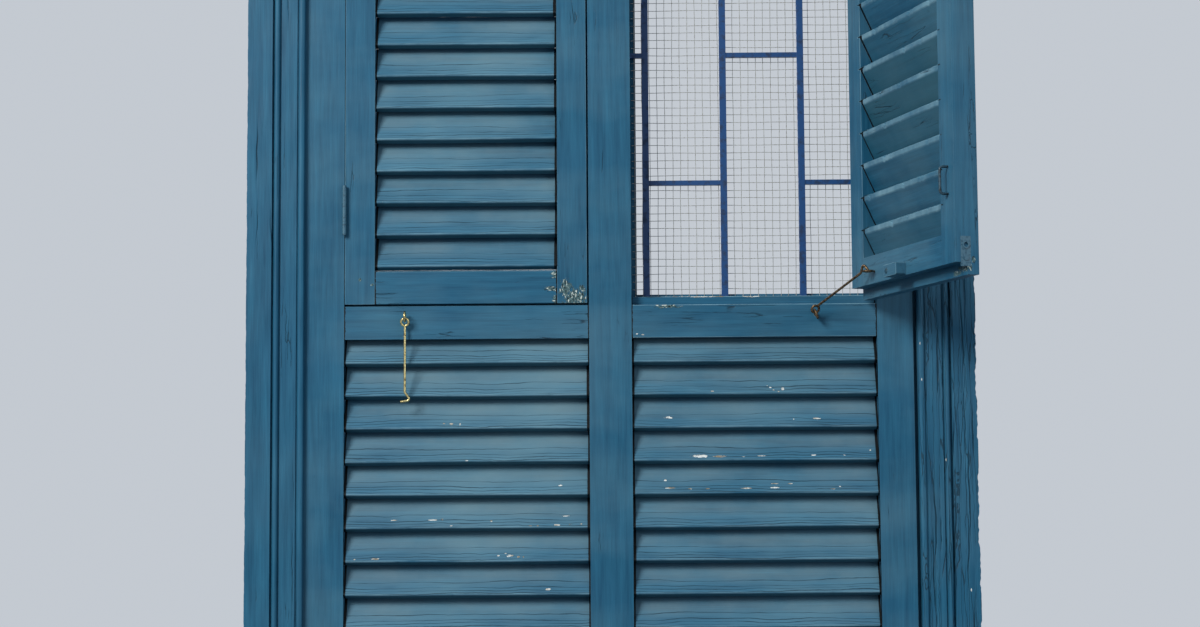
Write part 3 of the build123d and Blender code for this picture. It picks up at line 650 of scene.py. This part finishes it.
def slat_grid(x0, x1, level, seed, nose_wear, top_wear):
    """One slat: its section carried along X, a little bowed and twisted, and worn back at its long edges.

    A worn edge point moves inwards by its nearness to the edge times a wave that is cut off below a limit.
    At both ends a slightly thinner tongue goes on into the housing, painted near black as the shadow in the
    gap beside the stile. Returns the grid and what each point carries for the paint.
    """
    section = slat_section()
    random = np.random.default_rng(seed)
    left = x0 + HOUSING + random.uniform(*SLAT_END_GAP)
    right = x1 - HOUSING - random.uniform(*SLAT_END_GAP)
    clear = np.linspace(left, right, int((right - left) / SLAT_STEP))
    x = np.concatenate([[x0, left - TONGUE_START], clear, [right + TONGUE_START, x1]])
    tongue = ((x < left) | (x > right))[:, None]
    s = np.where(tongue, 0.997 * section[:, 0], section[:, 0])
    n = np.where(tongue, 0.0004 + 0.95 * section[:, 1], section[:, 1])
    nose = (section[:, 0] < 0.0023) & (section[:, 1] < SLAT_T - 0.001)
    lip = (section[:, 0] > SLAT_CHORD - SLAT_LIP - 0.0002) & (section[:, 1] > SLAT_T - 0.0045)
    under = (section[:, 1] > SLAT_T - 0.0002) & ~lip
    face = np.where(n < 0.002, 1.0, 0.0)
    # Strength of the painted highlight along the slat's inner lip, changing along its length
    edge_highlight = np.clip(0.85 + waves(x, seed + 19, (0.11, 0.043, 0.017), (0.15, 0.12, 0.1)), 0, 1)[:, None]

    ragged = waves(x, seed, (0.21, 0.093, 0.041, 0.019, 0.0104), (0.3, 0.3, 0.25, 0.25, 0.2))
    bite = np.clip(ragged - (1.05 - nose_wear), 0, 1)[:, None]
    near_nose = np.clip(1 - np.hypot(s, n) / NOSE_REACH, 0, 1)
    carried = {
        "wear": near_nose * np.clip(bite * 1.6, 0, 1),
        "rise": np.where(nose, s - n, s),
        "upper": face * np.clip((s - 0.014) / 0.018, 0, 1),
        # Painted highlight on the inner lip and on the nose's rounded edge
        "edge": np.maximum(lip * edge_highlight, 0.55 * (np.hypot(s, n) < 0.0024)) * ~tongue,
        # Painted shade tone: on the downward nose face, and by a random amount per slat on the back face
        "shade": np.where(nose, section[:, 1] > 0.0024, under * (0.5 + 0.5 * math.sin(2.4 * seed))),
        # Painted shadow: the tongue in the gap beside the stile is near black
        "gap": tongue,
    }
    torn = waves(x, seed + 7, (0.17, 0.071, 0.033, 0.015), (0.35, 0.35, 0.3, 0.3))
    bite_top = np.clip(torn - (1.15 - top_wear), 0, 1)[:, None]
    near_top = np.clip(1 - (SLAT_CHORD - s) / TOP_REACH, 0, 1) * np.clip(n / SLAT_T, 0.35, 1) * ~tongue
    ripple = waves(s + 0.3 * x[:, None], seed + 3, (0.019, 0.0113), (0.00010, 0.00007)) + 0.00017
    n = n + near_nose * bite * NOSE_LOSS_THROUGH + face * ripple
    s = s + near_nose * bite * NOSE_LOSS_ALONG - near_top * bite_top * TOP_LOSS
    lean = SLAT_SLOPE + math.radians(0.25) * np.sin(2 * math.pi * x / 0.6 + seed)[:, None]
    sag = waves(x, seed + 11, (0.8, 0.37), (0.0003, 0.00018))[:, None]
    y = SLAT_SETBACK + s * np.cos(lean) + n * np.sin(lean)
    z = level + s * np.sin(lean) - n * np.cos(lean) + sag
    grid = np.stack([np.broadcast_to(x[:, None], y.shape), y, z], axis=-1)
    return grid, {label: np.broadcast_to(value, y.shape) for label, value in carried.items()}


def add_slats(name, node, body, x0, x1, levels, material, turn=False, flip=False, top_wear=0.0):
    """All the slats of one panel as one piece, flipped to the left side or turned with the open leaf."""
    points, faces, carried, start = [], [], [], 0
    for index, level in enumerate(levels):
        seed = sum(map(ord, node)) + 31 * index
        grid, values = slat_grid(x0, x1, level, seed, 0.35, top_wear)
        if flip:
            grid = grid * np.array([-1.0, 1.0, 1.0])
        else:
            grid = grid[::-1]
            values = {label: value[::-1] for label, value in values.items()}
        if turn:
            grid = swung(grid)
        points.append(grid.reshape(-1, 3))
        carried.append(values)
        faces += swept_faces(grid.shape[0], grid.shape[1], start)
        start += grid.shape[0] * grid.shape[1]
    piece = add_piece(name, np.concatenate(points), faces, material, body, [node])
    for label in carried[0]:
        carry(piece, label, np.concatenate([one[label].reshape(-1) for one in carried]))


def casing_height(u):
    """How far the moulding stands out at u from its inner edge: two beads between quirks, and two bands.

    A bead rises above the quirks by its height times the root of one less the squared share of its half
    width that u lies from its middle.
    """
    height = np.full_like(u, QUIRK_H)
    beads = [(0.0, BEAD_END, BEAD_RISE), (OUTER_BEAD_START, OUTER_BEAD_END, OUTER_BEAD_RISE)]
    for start, end, rise in beads:
        share = (u - (start + end) / 2) / ((end - start) / 2)
        bead = QUIRK_H + rise * np.sqrt(np.clip(1 - share ** 2, 0, 1))
        height = np.where(np.abs(share) <= 1, bead, height)
    height = np.where((u >= BAND_START) & (u <= BAND_END), BAND_H, height)
    return np.where(u >= OUTER_BAND_START, OUTER_BAND_H, height)


def casing_profile():
    """Closed loop of the board: its moulded face from the inner edge out, then round its flat back."""
    marks = [
        0.0, BEAD_END, BAND_START, BAND_END, OUTER_BEAD_START, OUTER_BEAD_END, OUTER_BAND_START, CASING_W,
    ]
    counts = [16, 3, 22, 3, 16, 3, 58]
    u = np.concatenate([np.linspace(a + 1e-5, b - 1e-5, c) for a, b, c in zip(marks, marks[1:], counts)])
    v = casing_height(u)
    back_u = np.array([CASING_W, CASING_W, 0.062, 0.031, 0.0, 0.0])
    back_v = np.array([CASING_EDGE_H, 0.0, 0.0, 0.0, 0.0, 0.004])
    return np.concatenate([u, back_u]), np.concatenate([v, back_v]), len(u)


def crack_depth(u, t, seed, count, deep):
    """Long cracks: narrow grooves whose line wanders, each deep only over its own stretch of the board.

    A groove's depth falls off from its line as e to the power of minus the square of the distance over the
    width, and where grooves cross the deeper one counts. Of every four, three lie on the outer bead and
    band and one on the inner band.
    """
    random = np.random.default_rng(seed)
    depth = np.zeros(np.broadcast(u, t).shape)
    for k in range(count):
        middle = random.uniform(0.044, 0.091) if k % 4 else random.uniform(0.014, 0.037)
        start = random.uniform(-0.75, 0.85)
        half = random.uniform(0.03, 0.16)
        line = middle + waves(t, seed + 5 * k, (0.31, 0.12, 0.045), (0.0016, 0.0008, 0.0004))
        width = random.uniform(0.0006, 0.0011)
        fade = np.clip(1.2 * (1 - np.abs(t - start) / half), 0, 1)
        groove = deep * random.uniform(0.4, 1.0) * fade * np.exp(-((u - line) / width) ** 2)
        depth = np.maximum(depth, groove)
    return depth


def casing_grid(seed, cracks, deep, knot, frayed, first, last, slant, slant_first=0.0):
    """Board on a grid along t: the loop of its section, with cracks, a knot and a frayed outer edge.

    Its ends are cut square where a slant is 0 and at 45 degrees where it is 1 or -1. Two rings round the
    knot are sunk as e to the power of minus the square of the distance from the ring over its width. The
    frayed edge moves inwards by a wave that is cut off below a limit. Returns the places across, out and
    along, and the share of the full crack depth at each point.
    """
    u, v, faced = casing_profile()
    stations = int((last - first) / CASING_STEP)
    share = np.linspace(0, 1, stations)[:, None]
    t = (first + slant_first * u) * (1 - share) + (last + slant * u) * share
    uu = np.broadcast_to(u, t.shape).copy()
    vv = np.broadcast_to(v, t.shape).copy()
    front = np.arange(len(u)) < faced
    crack = crack_depth(uu, t, seed, cracks, deep) * front
    vv = vv - crack
    vv = vv - (0.00035 + waves(t + 2.1 * uu, seed + 2, (0.37, 0.11), (0.0002, 0.00012))) * front
    if knot:
        away = np.hypot((uu - knot[0]) * 1.35, t - knot[1])
        for radius, width, sunk in KNOT_RINGS:
            vv = vv - front * sunk * np.exp(-((away - radius) / width) ** 2)
    torn = waves(t, seed + 9, (0.23, 0.081, 0.034, 0.013), (0.4, 0.35, 0.3, 0.25))
    bite = np.clip(torn + 0.35, 0, 1.4) * frayed
    uu = uu - np.clip((uu - (CASING_W - 0.007)) / 0.007, 0, 1) * bite
    vv = vv - np.where(front, np.clip((uu - (CASING_W - 0.006)) / 0.006, 0, 1) * bite * 0.5, 0)
    return uu, np.maximum(vv, 0.0), t, crack / deep


def add_casing(name, node, grid, way, material):
    """Side board for way 1 or -1, or the board over the head for way 0."""
    uu, vv, t, crack = grid
    if way:
        points = np.stack([way * (FACE_RIGHT + uu), -vv, t], axis=-1)
    else:
        points = np.stack([t, -vv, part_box(node)[1].z - CASING_W + uu], axis=-1)
    if way <= 0:
        points, crack = points[::-1], crack[::-1]
    piece = add_piece(name, points, swept_faces(*uu.shape), material, "frame", [node])
    carry(piece, "crack", crack)


def softened(node, material, width=WORN_EDGE, edge_highlight=1.0):
    """Copy of a sawn or forged piece with its doubles merged, its flat faces joined and its edges rounded.

    The rounded edges carry a pale painted highlight, as strong as the last argument says.
    """
    source = frame["nodes"][node]
    mesh = source.data.copy()
    work = bmesh.new()
    work.from_mesh(mesh)
    bmesh.ops.remove_doubles(work, verts=work.verts, dist=2e-6)
    bmesh.ops.dissolve_limit(work, angle_limit=math.radians(1.0), verts=work.verts, edges=work.edges)
    edge = work.faces.layers.float.new("edge")
    sharp = [e for e in work.edges if e.is_manifold and e.calc_face_angle(0.0) > SHARP_ANGLE]
    rounded = bmesh.ops.bevel(
        work, geom=sharp, offset=width, offset_type="OFFSET", segments=2, profile=0.55,
        affect="EDGES", clamp_overlap=True,
    )
    # The rounded faces take the painted edge highlight
    for face in rounded["faces"]:
        face[edge] = edge_highlight
    bmesh.ops.triangulate(work, faces=[f for f in work.faces if len(f.verts) > 4])
    work.to_mesh(mesh)
    work.free()
    mesh.materials.clear()
    mesh.materials.append(material)
    mesh.shade_smooth()
    mesh.set_sharp_from_angle(angle=SHARP_ANGLE)
    piece = bpy.data.objects.new(f"{node}_finish", mesh)
    bpy.context.scene.collection.objects.link(piece)
    weighted = piece.modifiers.new("flat_faces", "WEIGHTED_NORMAL")
    weighted.keep_sharp = True
    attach(piece, source["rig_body"])
    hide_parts(node)


def repaint(node, material):
    """Give a node that is already right its own finish."""
    mesh = frame["nodes"][node].data
    mesh.materials.clear()
    mesh.materials.append(material)


def wire_mesh(name, node, material, side):
    """Welded mesh: wires both ways at one pitch, each a circle of six points carried along a slight wave.

    The level wires lie behind the upright ones, and the first and last of each way are straight.
    """
    low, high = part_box(node)
    angles = np.arange(WIRE_SIDES) / WIRE_SIDES * 2 * math.pi
    points, faces, start = [], [], 0
    for level in (False, True):
        first, last = (low.z, high.z) if level else (low.x, high.x)
        count = int((last - first) / WIRE_PITCH)
        inset = (last - first - WIRE_PITCH * count) / 2
        ends = (low.x, high.x) if level else (low.z, high.z)
        for k in range(count + 1):
            place = first + min(max(inset, WIRE_R) + WIRE_PITCH * k, last - first - WIRE_R)
            t = np.linspace(ends[0], ends[1], WIRE_STATIONS)
            drift = waves(t, 17 * k + 5 * level + side, (0.31, 0.12), (0.0004, 0.0003)) * (0 < k < count)
            depth = low.y + WIRE_R + (0.7 * WIRE_R if level else 0.0)
            ring_a = place + drift[:, None] + WIRE_R * np.cos(angles)
            ring_y = np.broadcast_to(depth + WIRE_R * np.sin(angles), ring_a.shape)
            long = np.broadcast_to(t[:, None], ring_a.shape)
            places = [long[::-1], ring_y, ring_a[::-1]] if level else [ring_a, ring_y, long]
            points.append(np.stack(places, axis=-1).reshape(-1, 3))
            faces += swept_faces(WIRE_STATIONS, WIRE_SIDES, start)
            start += WIRE_STATIONS * WIRE_SIDES
    add_piece(name, np.concatenate(points), faces, material, "frame", [node])


def screw_head(centre, facing, radius, turn, rise):
    """Slotted head on a grid of rings and angles, turned to face a way.

    Its height is rise times the radius times one less the ring's share of the radius to the power 2.4, and
    a quarter of that along the slot.
    """
    rings = np.linspace(0, 1, SCREW_RINGS)[:, None]
    angles = np.arange(SCREW_SIDES)[None, :] / SCREW_SIDES * 2 * math.pi
    x, y = radius * rings * np.cos(angles), radius * rings * np.sin(angles)
    across = np.abs(x * math.sin(turn) - y * math.cos(turn))
    dome = rise * radius * (1 - rings ** 2.4) + 0 * angles
    slot = np.clip(1.4 - across / (0.14 * radius), 0, 1)
    height = dome * (1 - 0.76 * slot)
    way = Vector(facing).normalized()
    turn_to = np.array(way.to_track_quat("Z", "Y").to_matrix())
    local = np.stack([x, y, height], axis=-1)
    return local @ turn_to.T + np.array(centre)


def add_screws(name, heads, material, body, rise=HINGE_SCREW_RISE):
    """Several screw heads as one piece. The grid's first ring is its pole, and its last is closed flat."""
    points, faces, start = [], [], 0
    for centre, facing, radius, turn in heads:
        grid = screw_head(centre, facing, radius, turn, rise)
        rings, around = grid.shape[:2]
        points.append(grid.reshape(-1, 3))
        k = np.arange(1, rings - 1)[:, None] * around
        j = np.arange(around)[None, :]
        n = (j + 1) % around
        quads = np.stack([k + j, k + around + j, k + around + n, k + n], axis=-1).reshape(-1, 4) + start
        pole = [[start, start + around + i, start + around + (i + 1) % around] for i in range(around)]
        back = list(range(start + rings * around - 1, start + (rings - 1) * around - 1, -1))
        faces += quads.tolist() + pole + [back]
        start += rings * around
    piece = add_piece(name, np.concatenate(points), faces, material, body, [])
    work = bmesh.new()
    work.from_mesh(piece.data)
    loose = [v for v in work.verts if not v.link_faces]
    bmesh.ops.delete(work, geom=loose, context="VERTS")
    work.to_mesh(piece.data)
    work.free()


# The pieces

def finishes():
    """Every paint and metal of the object. Worn places are marks, as near_marks takes them."""
    foot = [(-57, 12, 17, 15), (-72, 28, 9, 13), (-46, 28, 5, 6)]
    foot_rail = [(-96, 27, 11, 4), (-89.5, 50, 7, 6), (-88, 9, 5, 8)]
    filler = [(92, -3, 20, 2.6)]
    rail_chips = [
        (43, -47.5, 2.5, 1.3), (52, -48.5, 3.5, 1.3), (150, 15.4, 64, 2.6, 19, 3),
        (232, 15.0, 24, 2.8, 19, 3),
    ]
    corner = [(504, 9, 9, 4), (519, 14, 8, 5), (527, 25, 3, 5)]
    nails = [(-406, 43.5, 2.6, 2.6), (-386, 35, 2.6, 2.6)]
    casing_chips = [
        (499, -67, 1.3, 3.5), (500.6, -125, 1.3, 3.5), (537, -254, 1.2, 4), (572.5, -462, 1.4, 5),
    ]
    right_chips = [
        (164, -140.9, 3.7, 1.3), (253, -132.3, 1.6, 1.2), (258, -135.3, 2.9, 1.6),
        (263, -139.5, 2.6, 1.6), (271, -142.2, 2.1, 1.2), (278, -138.3, 4.0, 2.9),
        (94, -183.0, 8.7, 2.6), (295, -186.7, 2.1, 1.3), (332, -185.7, 10.5, 1.8),
        (143, -245.4, 19.8, 3.2), (177, -246.1, 14.5, 2.4), (213, -246.9, 4.2, 1.3),
        (242, -245.8, 10.5, 1.3), (326, -245.1, 5.3, 1.6), (376, -245.4, 3.4, 1.3),
        (418, -237.3, 1.8, 1.8), (87, -283.7, 2.9, 2.1), (93, -296.5, 11.1, 1.4),
        (127, -298.0, 4.7, 1.6), (155, -297.7, 5.3, 1.4), (218, -297.6, 11.1, 1.6),
        (265, -296.9, 11.9, 1.4), (263, -290.3, 10.5, 1.3), (289, -290.5, 6.6, 1.2),
        (357, -299.6, 7.4, 1.4), (368, -295.7, 2.4, 1.3),
    ]
    left_chips = [
        (-270, -190.2, 3.2, 1.3), (-258, -191.1, 4.5, 2.6), (-244, -191.7, 1.6, 2.1),
        (-233, -250.4, 3.7, 1.3), (-82, -291.2, 4.7, 1.6), (-350, -345.4, 7.9, 1.3),
        (-288, -345.3, 11.9, 1.3), (-273, -344.4, 3.2, 2.1), (-258, -354.4, 3.2, 1.6),
        (-194, -347.5, 2.4, 1.6), (-131, -355.5, 3.7, 1.3), (-119, -355.3, 2.1, 1.8),
        (-88, -354.4, 6.8, 1.6), (-66, -353.8, 6.6, 1.3), (-49, -353.1, 2.1, 1.6),
        (-73, -340.2, 9.2, 1.3), (-380, -407.4, 10.0, 2.1), (-414, -407.7, 2.4, 1.3),
        (-183, -402.7, 3.2, 1.8), (-164, -403.1, 7.9, 2.9), (-150, -405.2, 3.4, 2.4),
        (-142, -405.3, 2.1, 1.6), (-171, -399.6, 2.6, 1.3), (-103, -457.1, 6.6, 2.1),
    ]
    ends = [way * x for way in (1, -1) for x in FRAME_JOINTS]
    # The slats take more of the painted light from above on their upward faces
    slat = {"cracked": 0.12, "top_lit_faded": 0.75}
    return {
        "board": paint("paint_on_level_boards", ALONG_X, 0.45, 0.4),
        "rail": paint("paint_on_rails", ALONG_X, 0.45, seams=ends),
        "right_rail": paint(
            "paint_on_right_rail", ALONG_X, 0.6, flaked=filler, chipped=rail_chips, seams=ends,
        ),
        "leaf_top": paint("paint_on_leaf_top_rail", ALONG_X, 0.45, seams=LEAF_JOINTS),
        "post": paint("paint_on_posts", ALONG_Z, 0.3),
        "slat": paint("paint_on_leaf_slats", ALONG_X, split=0.10, **slat),
        "right_slat": paint("paint_on_right_slats", ALONG_X, chipped=right_chips, split=0.14, **slat),
        "left_slat": paint("paint_on_left_slats", ALONG_X, chipped=left_chips, split=0.14, **slat),
        "left_foot": paint("paint_on_chipped_stile", ALONG_Z, 0.5, flaked=foot),
        "left_foot_rail": paint("paint_on_chipped_rail", ALONG_X, 0.5, flaked=foot_rail, seams=LEAF_JOINTS),
        "nailed": paint("paint_on_nailed_stile", ALONG_Z, 0.3, flaked=nails),
        "cracked": paint("paint_on_cracked_casing", ALONG_Z, 1.0, 0.3, chipped=casing_chips, lifted=0.9),
        "casing": paint("paint_on_casing", ALONG_Z, 0.4, 0.15),
        "leaf_post": paint("paint_on_open_stiles", ALONG_Z, 0.5),
        "leaf_foot": paint("paint_on_open_stile_foot", ALONG_Z, 0.5, flaked=corner),
        "leaf_rail": paint("paint_on_open_rails", ALONG_LEAF, 0.5),
        "leaf_slat": paint("paint_on_open_slats", ALONG_LEAF, 0.5, 0.6),
        "hinge": metal("paint_over_hinge", tone(52, 98, 120), tone(30, 70, 92), 0.0, 0.42),
        "bars": metal("paint_on_bars", tone(4, 66, 122), tone(3, 42, 80), 0.0, 0.38, scale=90.0),
        "wire": metal("dull_wire", tone(178, 182, 180), tone(120, 116, 106), 0.25, 0.5, scale=420.0),
        "brass": metal("brassed_steel", tone(212, 196, 140), tone(96, 82, 54), 1.0, 0.22, 0.50),
        "dark_brass": metal("tarnished_brass", tone(120, 98, 72), tone(34, 28, 24), 0.8, 0.36, 0.46, 330.0),
        # The pull is dark all over: painted shade standing in for its shadow side
        "pull": metal("painted_shade_on_pull", tone(38, 70, 86), tone(10, 16, 20), 0.1, 0.4, 0.46),
        "iron": metal("old_iron", tone(44, 84, 104), tone(40, 52, 50), 0.2, 0.5, 0.52),
    }


def build_louvres(looks):
    """Slats of the two fixed panels and of the two leaves."""
    fixed = [FIXED_FIRST + FIXED_PITCH * k for k in range(FIXED_SLATS)]
    leaf = [LEAF_FIRST + LEAF_PITCH * k for k in range(LEAF_SLATS)]
    x0, x1 = (corner.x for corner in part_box("right_fixed_louvres"))
    add_slats("right_lower_slats", "right_fixed_louvres", "frame", x0, x1, fixed, looks["right_slat"])
    add_slats(
        "left_lower_slats", "left_fixed_louvres", "frame", x0, x1, fixed, looks["left_slat"], flip=True,
    )
    x1, x0 = (-corner.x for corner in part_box("left_leaf_louvres"))
    add_slats("left_leaf_slats", "left_leaf_louvres", "left_leaf", x0, x1, leaf, looks["slat"], flip=True)
    add_slats(
        "right_leaf_slats", "right_leaf_louvres", "right_leaf", x0, x1, leaf, looks["leaf_slat"],
        turn=True, top_wear=0.75,
    )


def build_casings(looks):
    """Three moulded boards. The right one is the most weathered."""
    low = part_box("right_casing")[0].z
    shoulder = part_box("right_casing")[1].z - CASING_W
    right = casing_grid(41, 74, 0.0018, KNOT, frayed=0.0022, first=low, last=shoulder, slant=1.0)
    add_casing("right_casing_board", "right_casing", right, 1, looks["cracked"])
    left = casing_grid(87, 9, 0.0007, None, frayed=0.0006, first=low, last=shoulder, slant=1.0)
    add_casing("left_casing_board", "left_casing", left, -1, looks["casing"])
    head = casing_grid(
        63, 8, 0.0007, None, frayed=0.0005, first=-FACE_RIGHT, last=FACE_RIGHT, slant=1.0, slant_first=-1.0,
    )
    add_casing("head_casing_board", "head_casing", head, 0, looks["board"])


def build_members(looks):
    """Sawn members of the frame and of the leaves, with worn round edges."""
    for node in ("sill", "head"):
        softened(node, looks["board"])
    for node in ("left_mid_rail", "left_bottom_rail", "right_bottom_rail"):
        softened(node, looks["rail"])
    softened("right_mid_rail", looks["right_rail"])
    for node in ("left_jamb", "right_jamb", "mullion"):
        softened(node, looks["post"])
    softened("left_hinge_stile", looks["nailed"])
    softened("left_meeting_stile", looks["left_foot"])
    softened("left_leaf_top_rail", looks["leaf_top"])
    # This rail gets no painted edge highlight
    softened("left_leaf_bottom_rail", looks["left_foot_rail"], edge_highlight=0.0)
    softened("right_hinge_stile", looks["leaf_post"])
    softened("right_meeting_stile", looks["leaf_foot"])
    for node in ("right_leaf_top_rail", "right_leaf_bottom_rail"):
        softened(node, looks["leaf_rail"])
    softened("right_leaf_turn_button", looks["leaf_rail"], width=WORN_BUTTON_EDGE)
    for side in ("left", "right"):
        repaint(f"{side}_mesh_beads", looks["board"])


def build_iron(looks):
    """Grilles, wire mesh, hinges, hooks and small fittings."""
    for number, side in enumerate(("left", "right")):
        softened(f"{side}_grille", looks["bars"], width=WORN_BAR_EDGE)
        wire_mesh(f"{side}_wire_mesh", f"{side}_mesh", looks["wire"], number)
        for where in ("lower", "upper"):
            for part in ("hinge_jamb_plate", "hinge_leaf_plate", "hinge_pin"):
                repaint(f"{side}_{where}_{part}", looks["hinge"])
    for node in ("left_hook", "left_rail_eye"):
        repaint(node, looks["brass"])
    for node in ("right_hook", "right_rail_eye", "left_leaf_eye", "right_leaf_eye"):
        repaint(node, looks["dark_brass"])
    repaint("right_leaf_edge_plate", looks["hinge"])
    repaint("right_leaf_pull", looks["pull"])
    low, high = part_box("right_leaf_turn_button")
    middle = swung((BUTTON_SCREW_X, BUTTON_FACE_Y, (low.z + high.z) / 2))
    inward = (-math.sin(OPEN_ANGLE), math.cos(OPEN_ANGLE), 0)
    heads = [(tuple(middle), inward, BUTTON_SCREW_R, 0.9)]
    add_screws("turn_button_screw", heads, looks["iron"], "right_leaf", BUTTON_SCREW_RISE)


def build_hinge_screws(looks):
    """Three painted screws in each hinge plate, set out on the closed right leaf and its jamb."""
    facing = (math.cos(OPEN_ANGLE), math.sin(OPEN_ANGLE), 0)
    for where, middle in HINGE_LEVELS.items():
        levels = [middle + step * HINGE_SCREW_PITCH for step in (-1, 0, 1)]
        jamb = [((PIVOT[0] + HINGE_HALF_GAP, HINGE_SCREW_Y, z), 0.7 + 9 * z) for z in levels]
        leaf = [((PIVOT[0] - HINGE_HALF_GAP, HINGE_SCREW_Y, z), 0.4 + 7 * z) for z in levels]
        for side, way in (("right", 1), ("left", -1)):
            heads = [((way * x, y, z), (-way, 0, 0), HINGE_SCREW_R, turn) for (x, y, z), turn in jamb]
            add_screws(f"{side}_{where}_jamb_screws", heads, looks["hinge"], "frame")
        heads = [((-x, y, z), (-1, 0, 0), HINGE_SCREW_R, turn) for (x, y, z), turn in leaf]
        add_screws(f"left_{where}_leaf_screws", heads, looks["hinge"], "left_leaf")
        heads = [(tuple(swung(place)), facing, HINGE_SCREW_R, turn) for place, turn in leaf]
        add_screws(f"right_{where}_leaf_screws", heads, looks["hinge"], "right_leaf")


front_camera()
studio()
looks = finishes()
build_louvres(looks)
build_casings(looks)
build_members(looks)
build_iron(looks)
build_hinge_screws(looks)
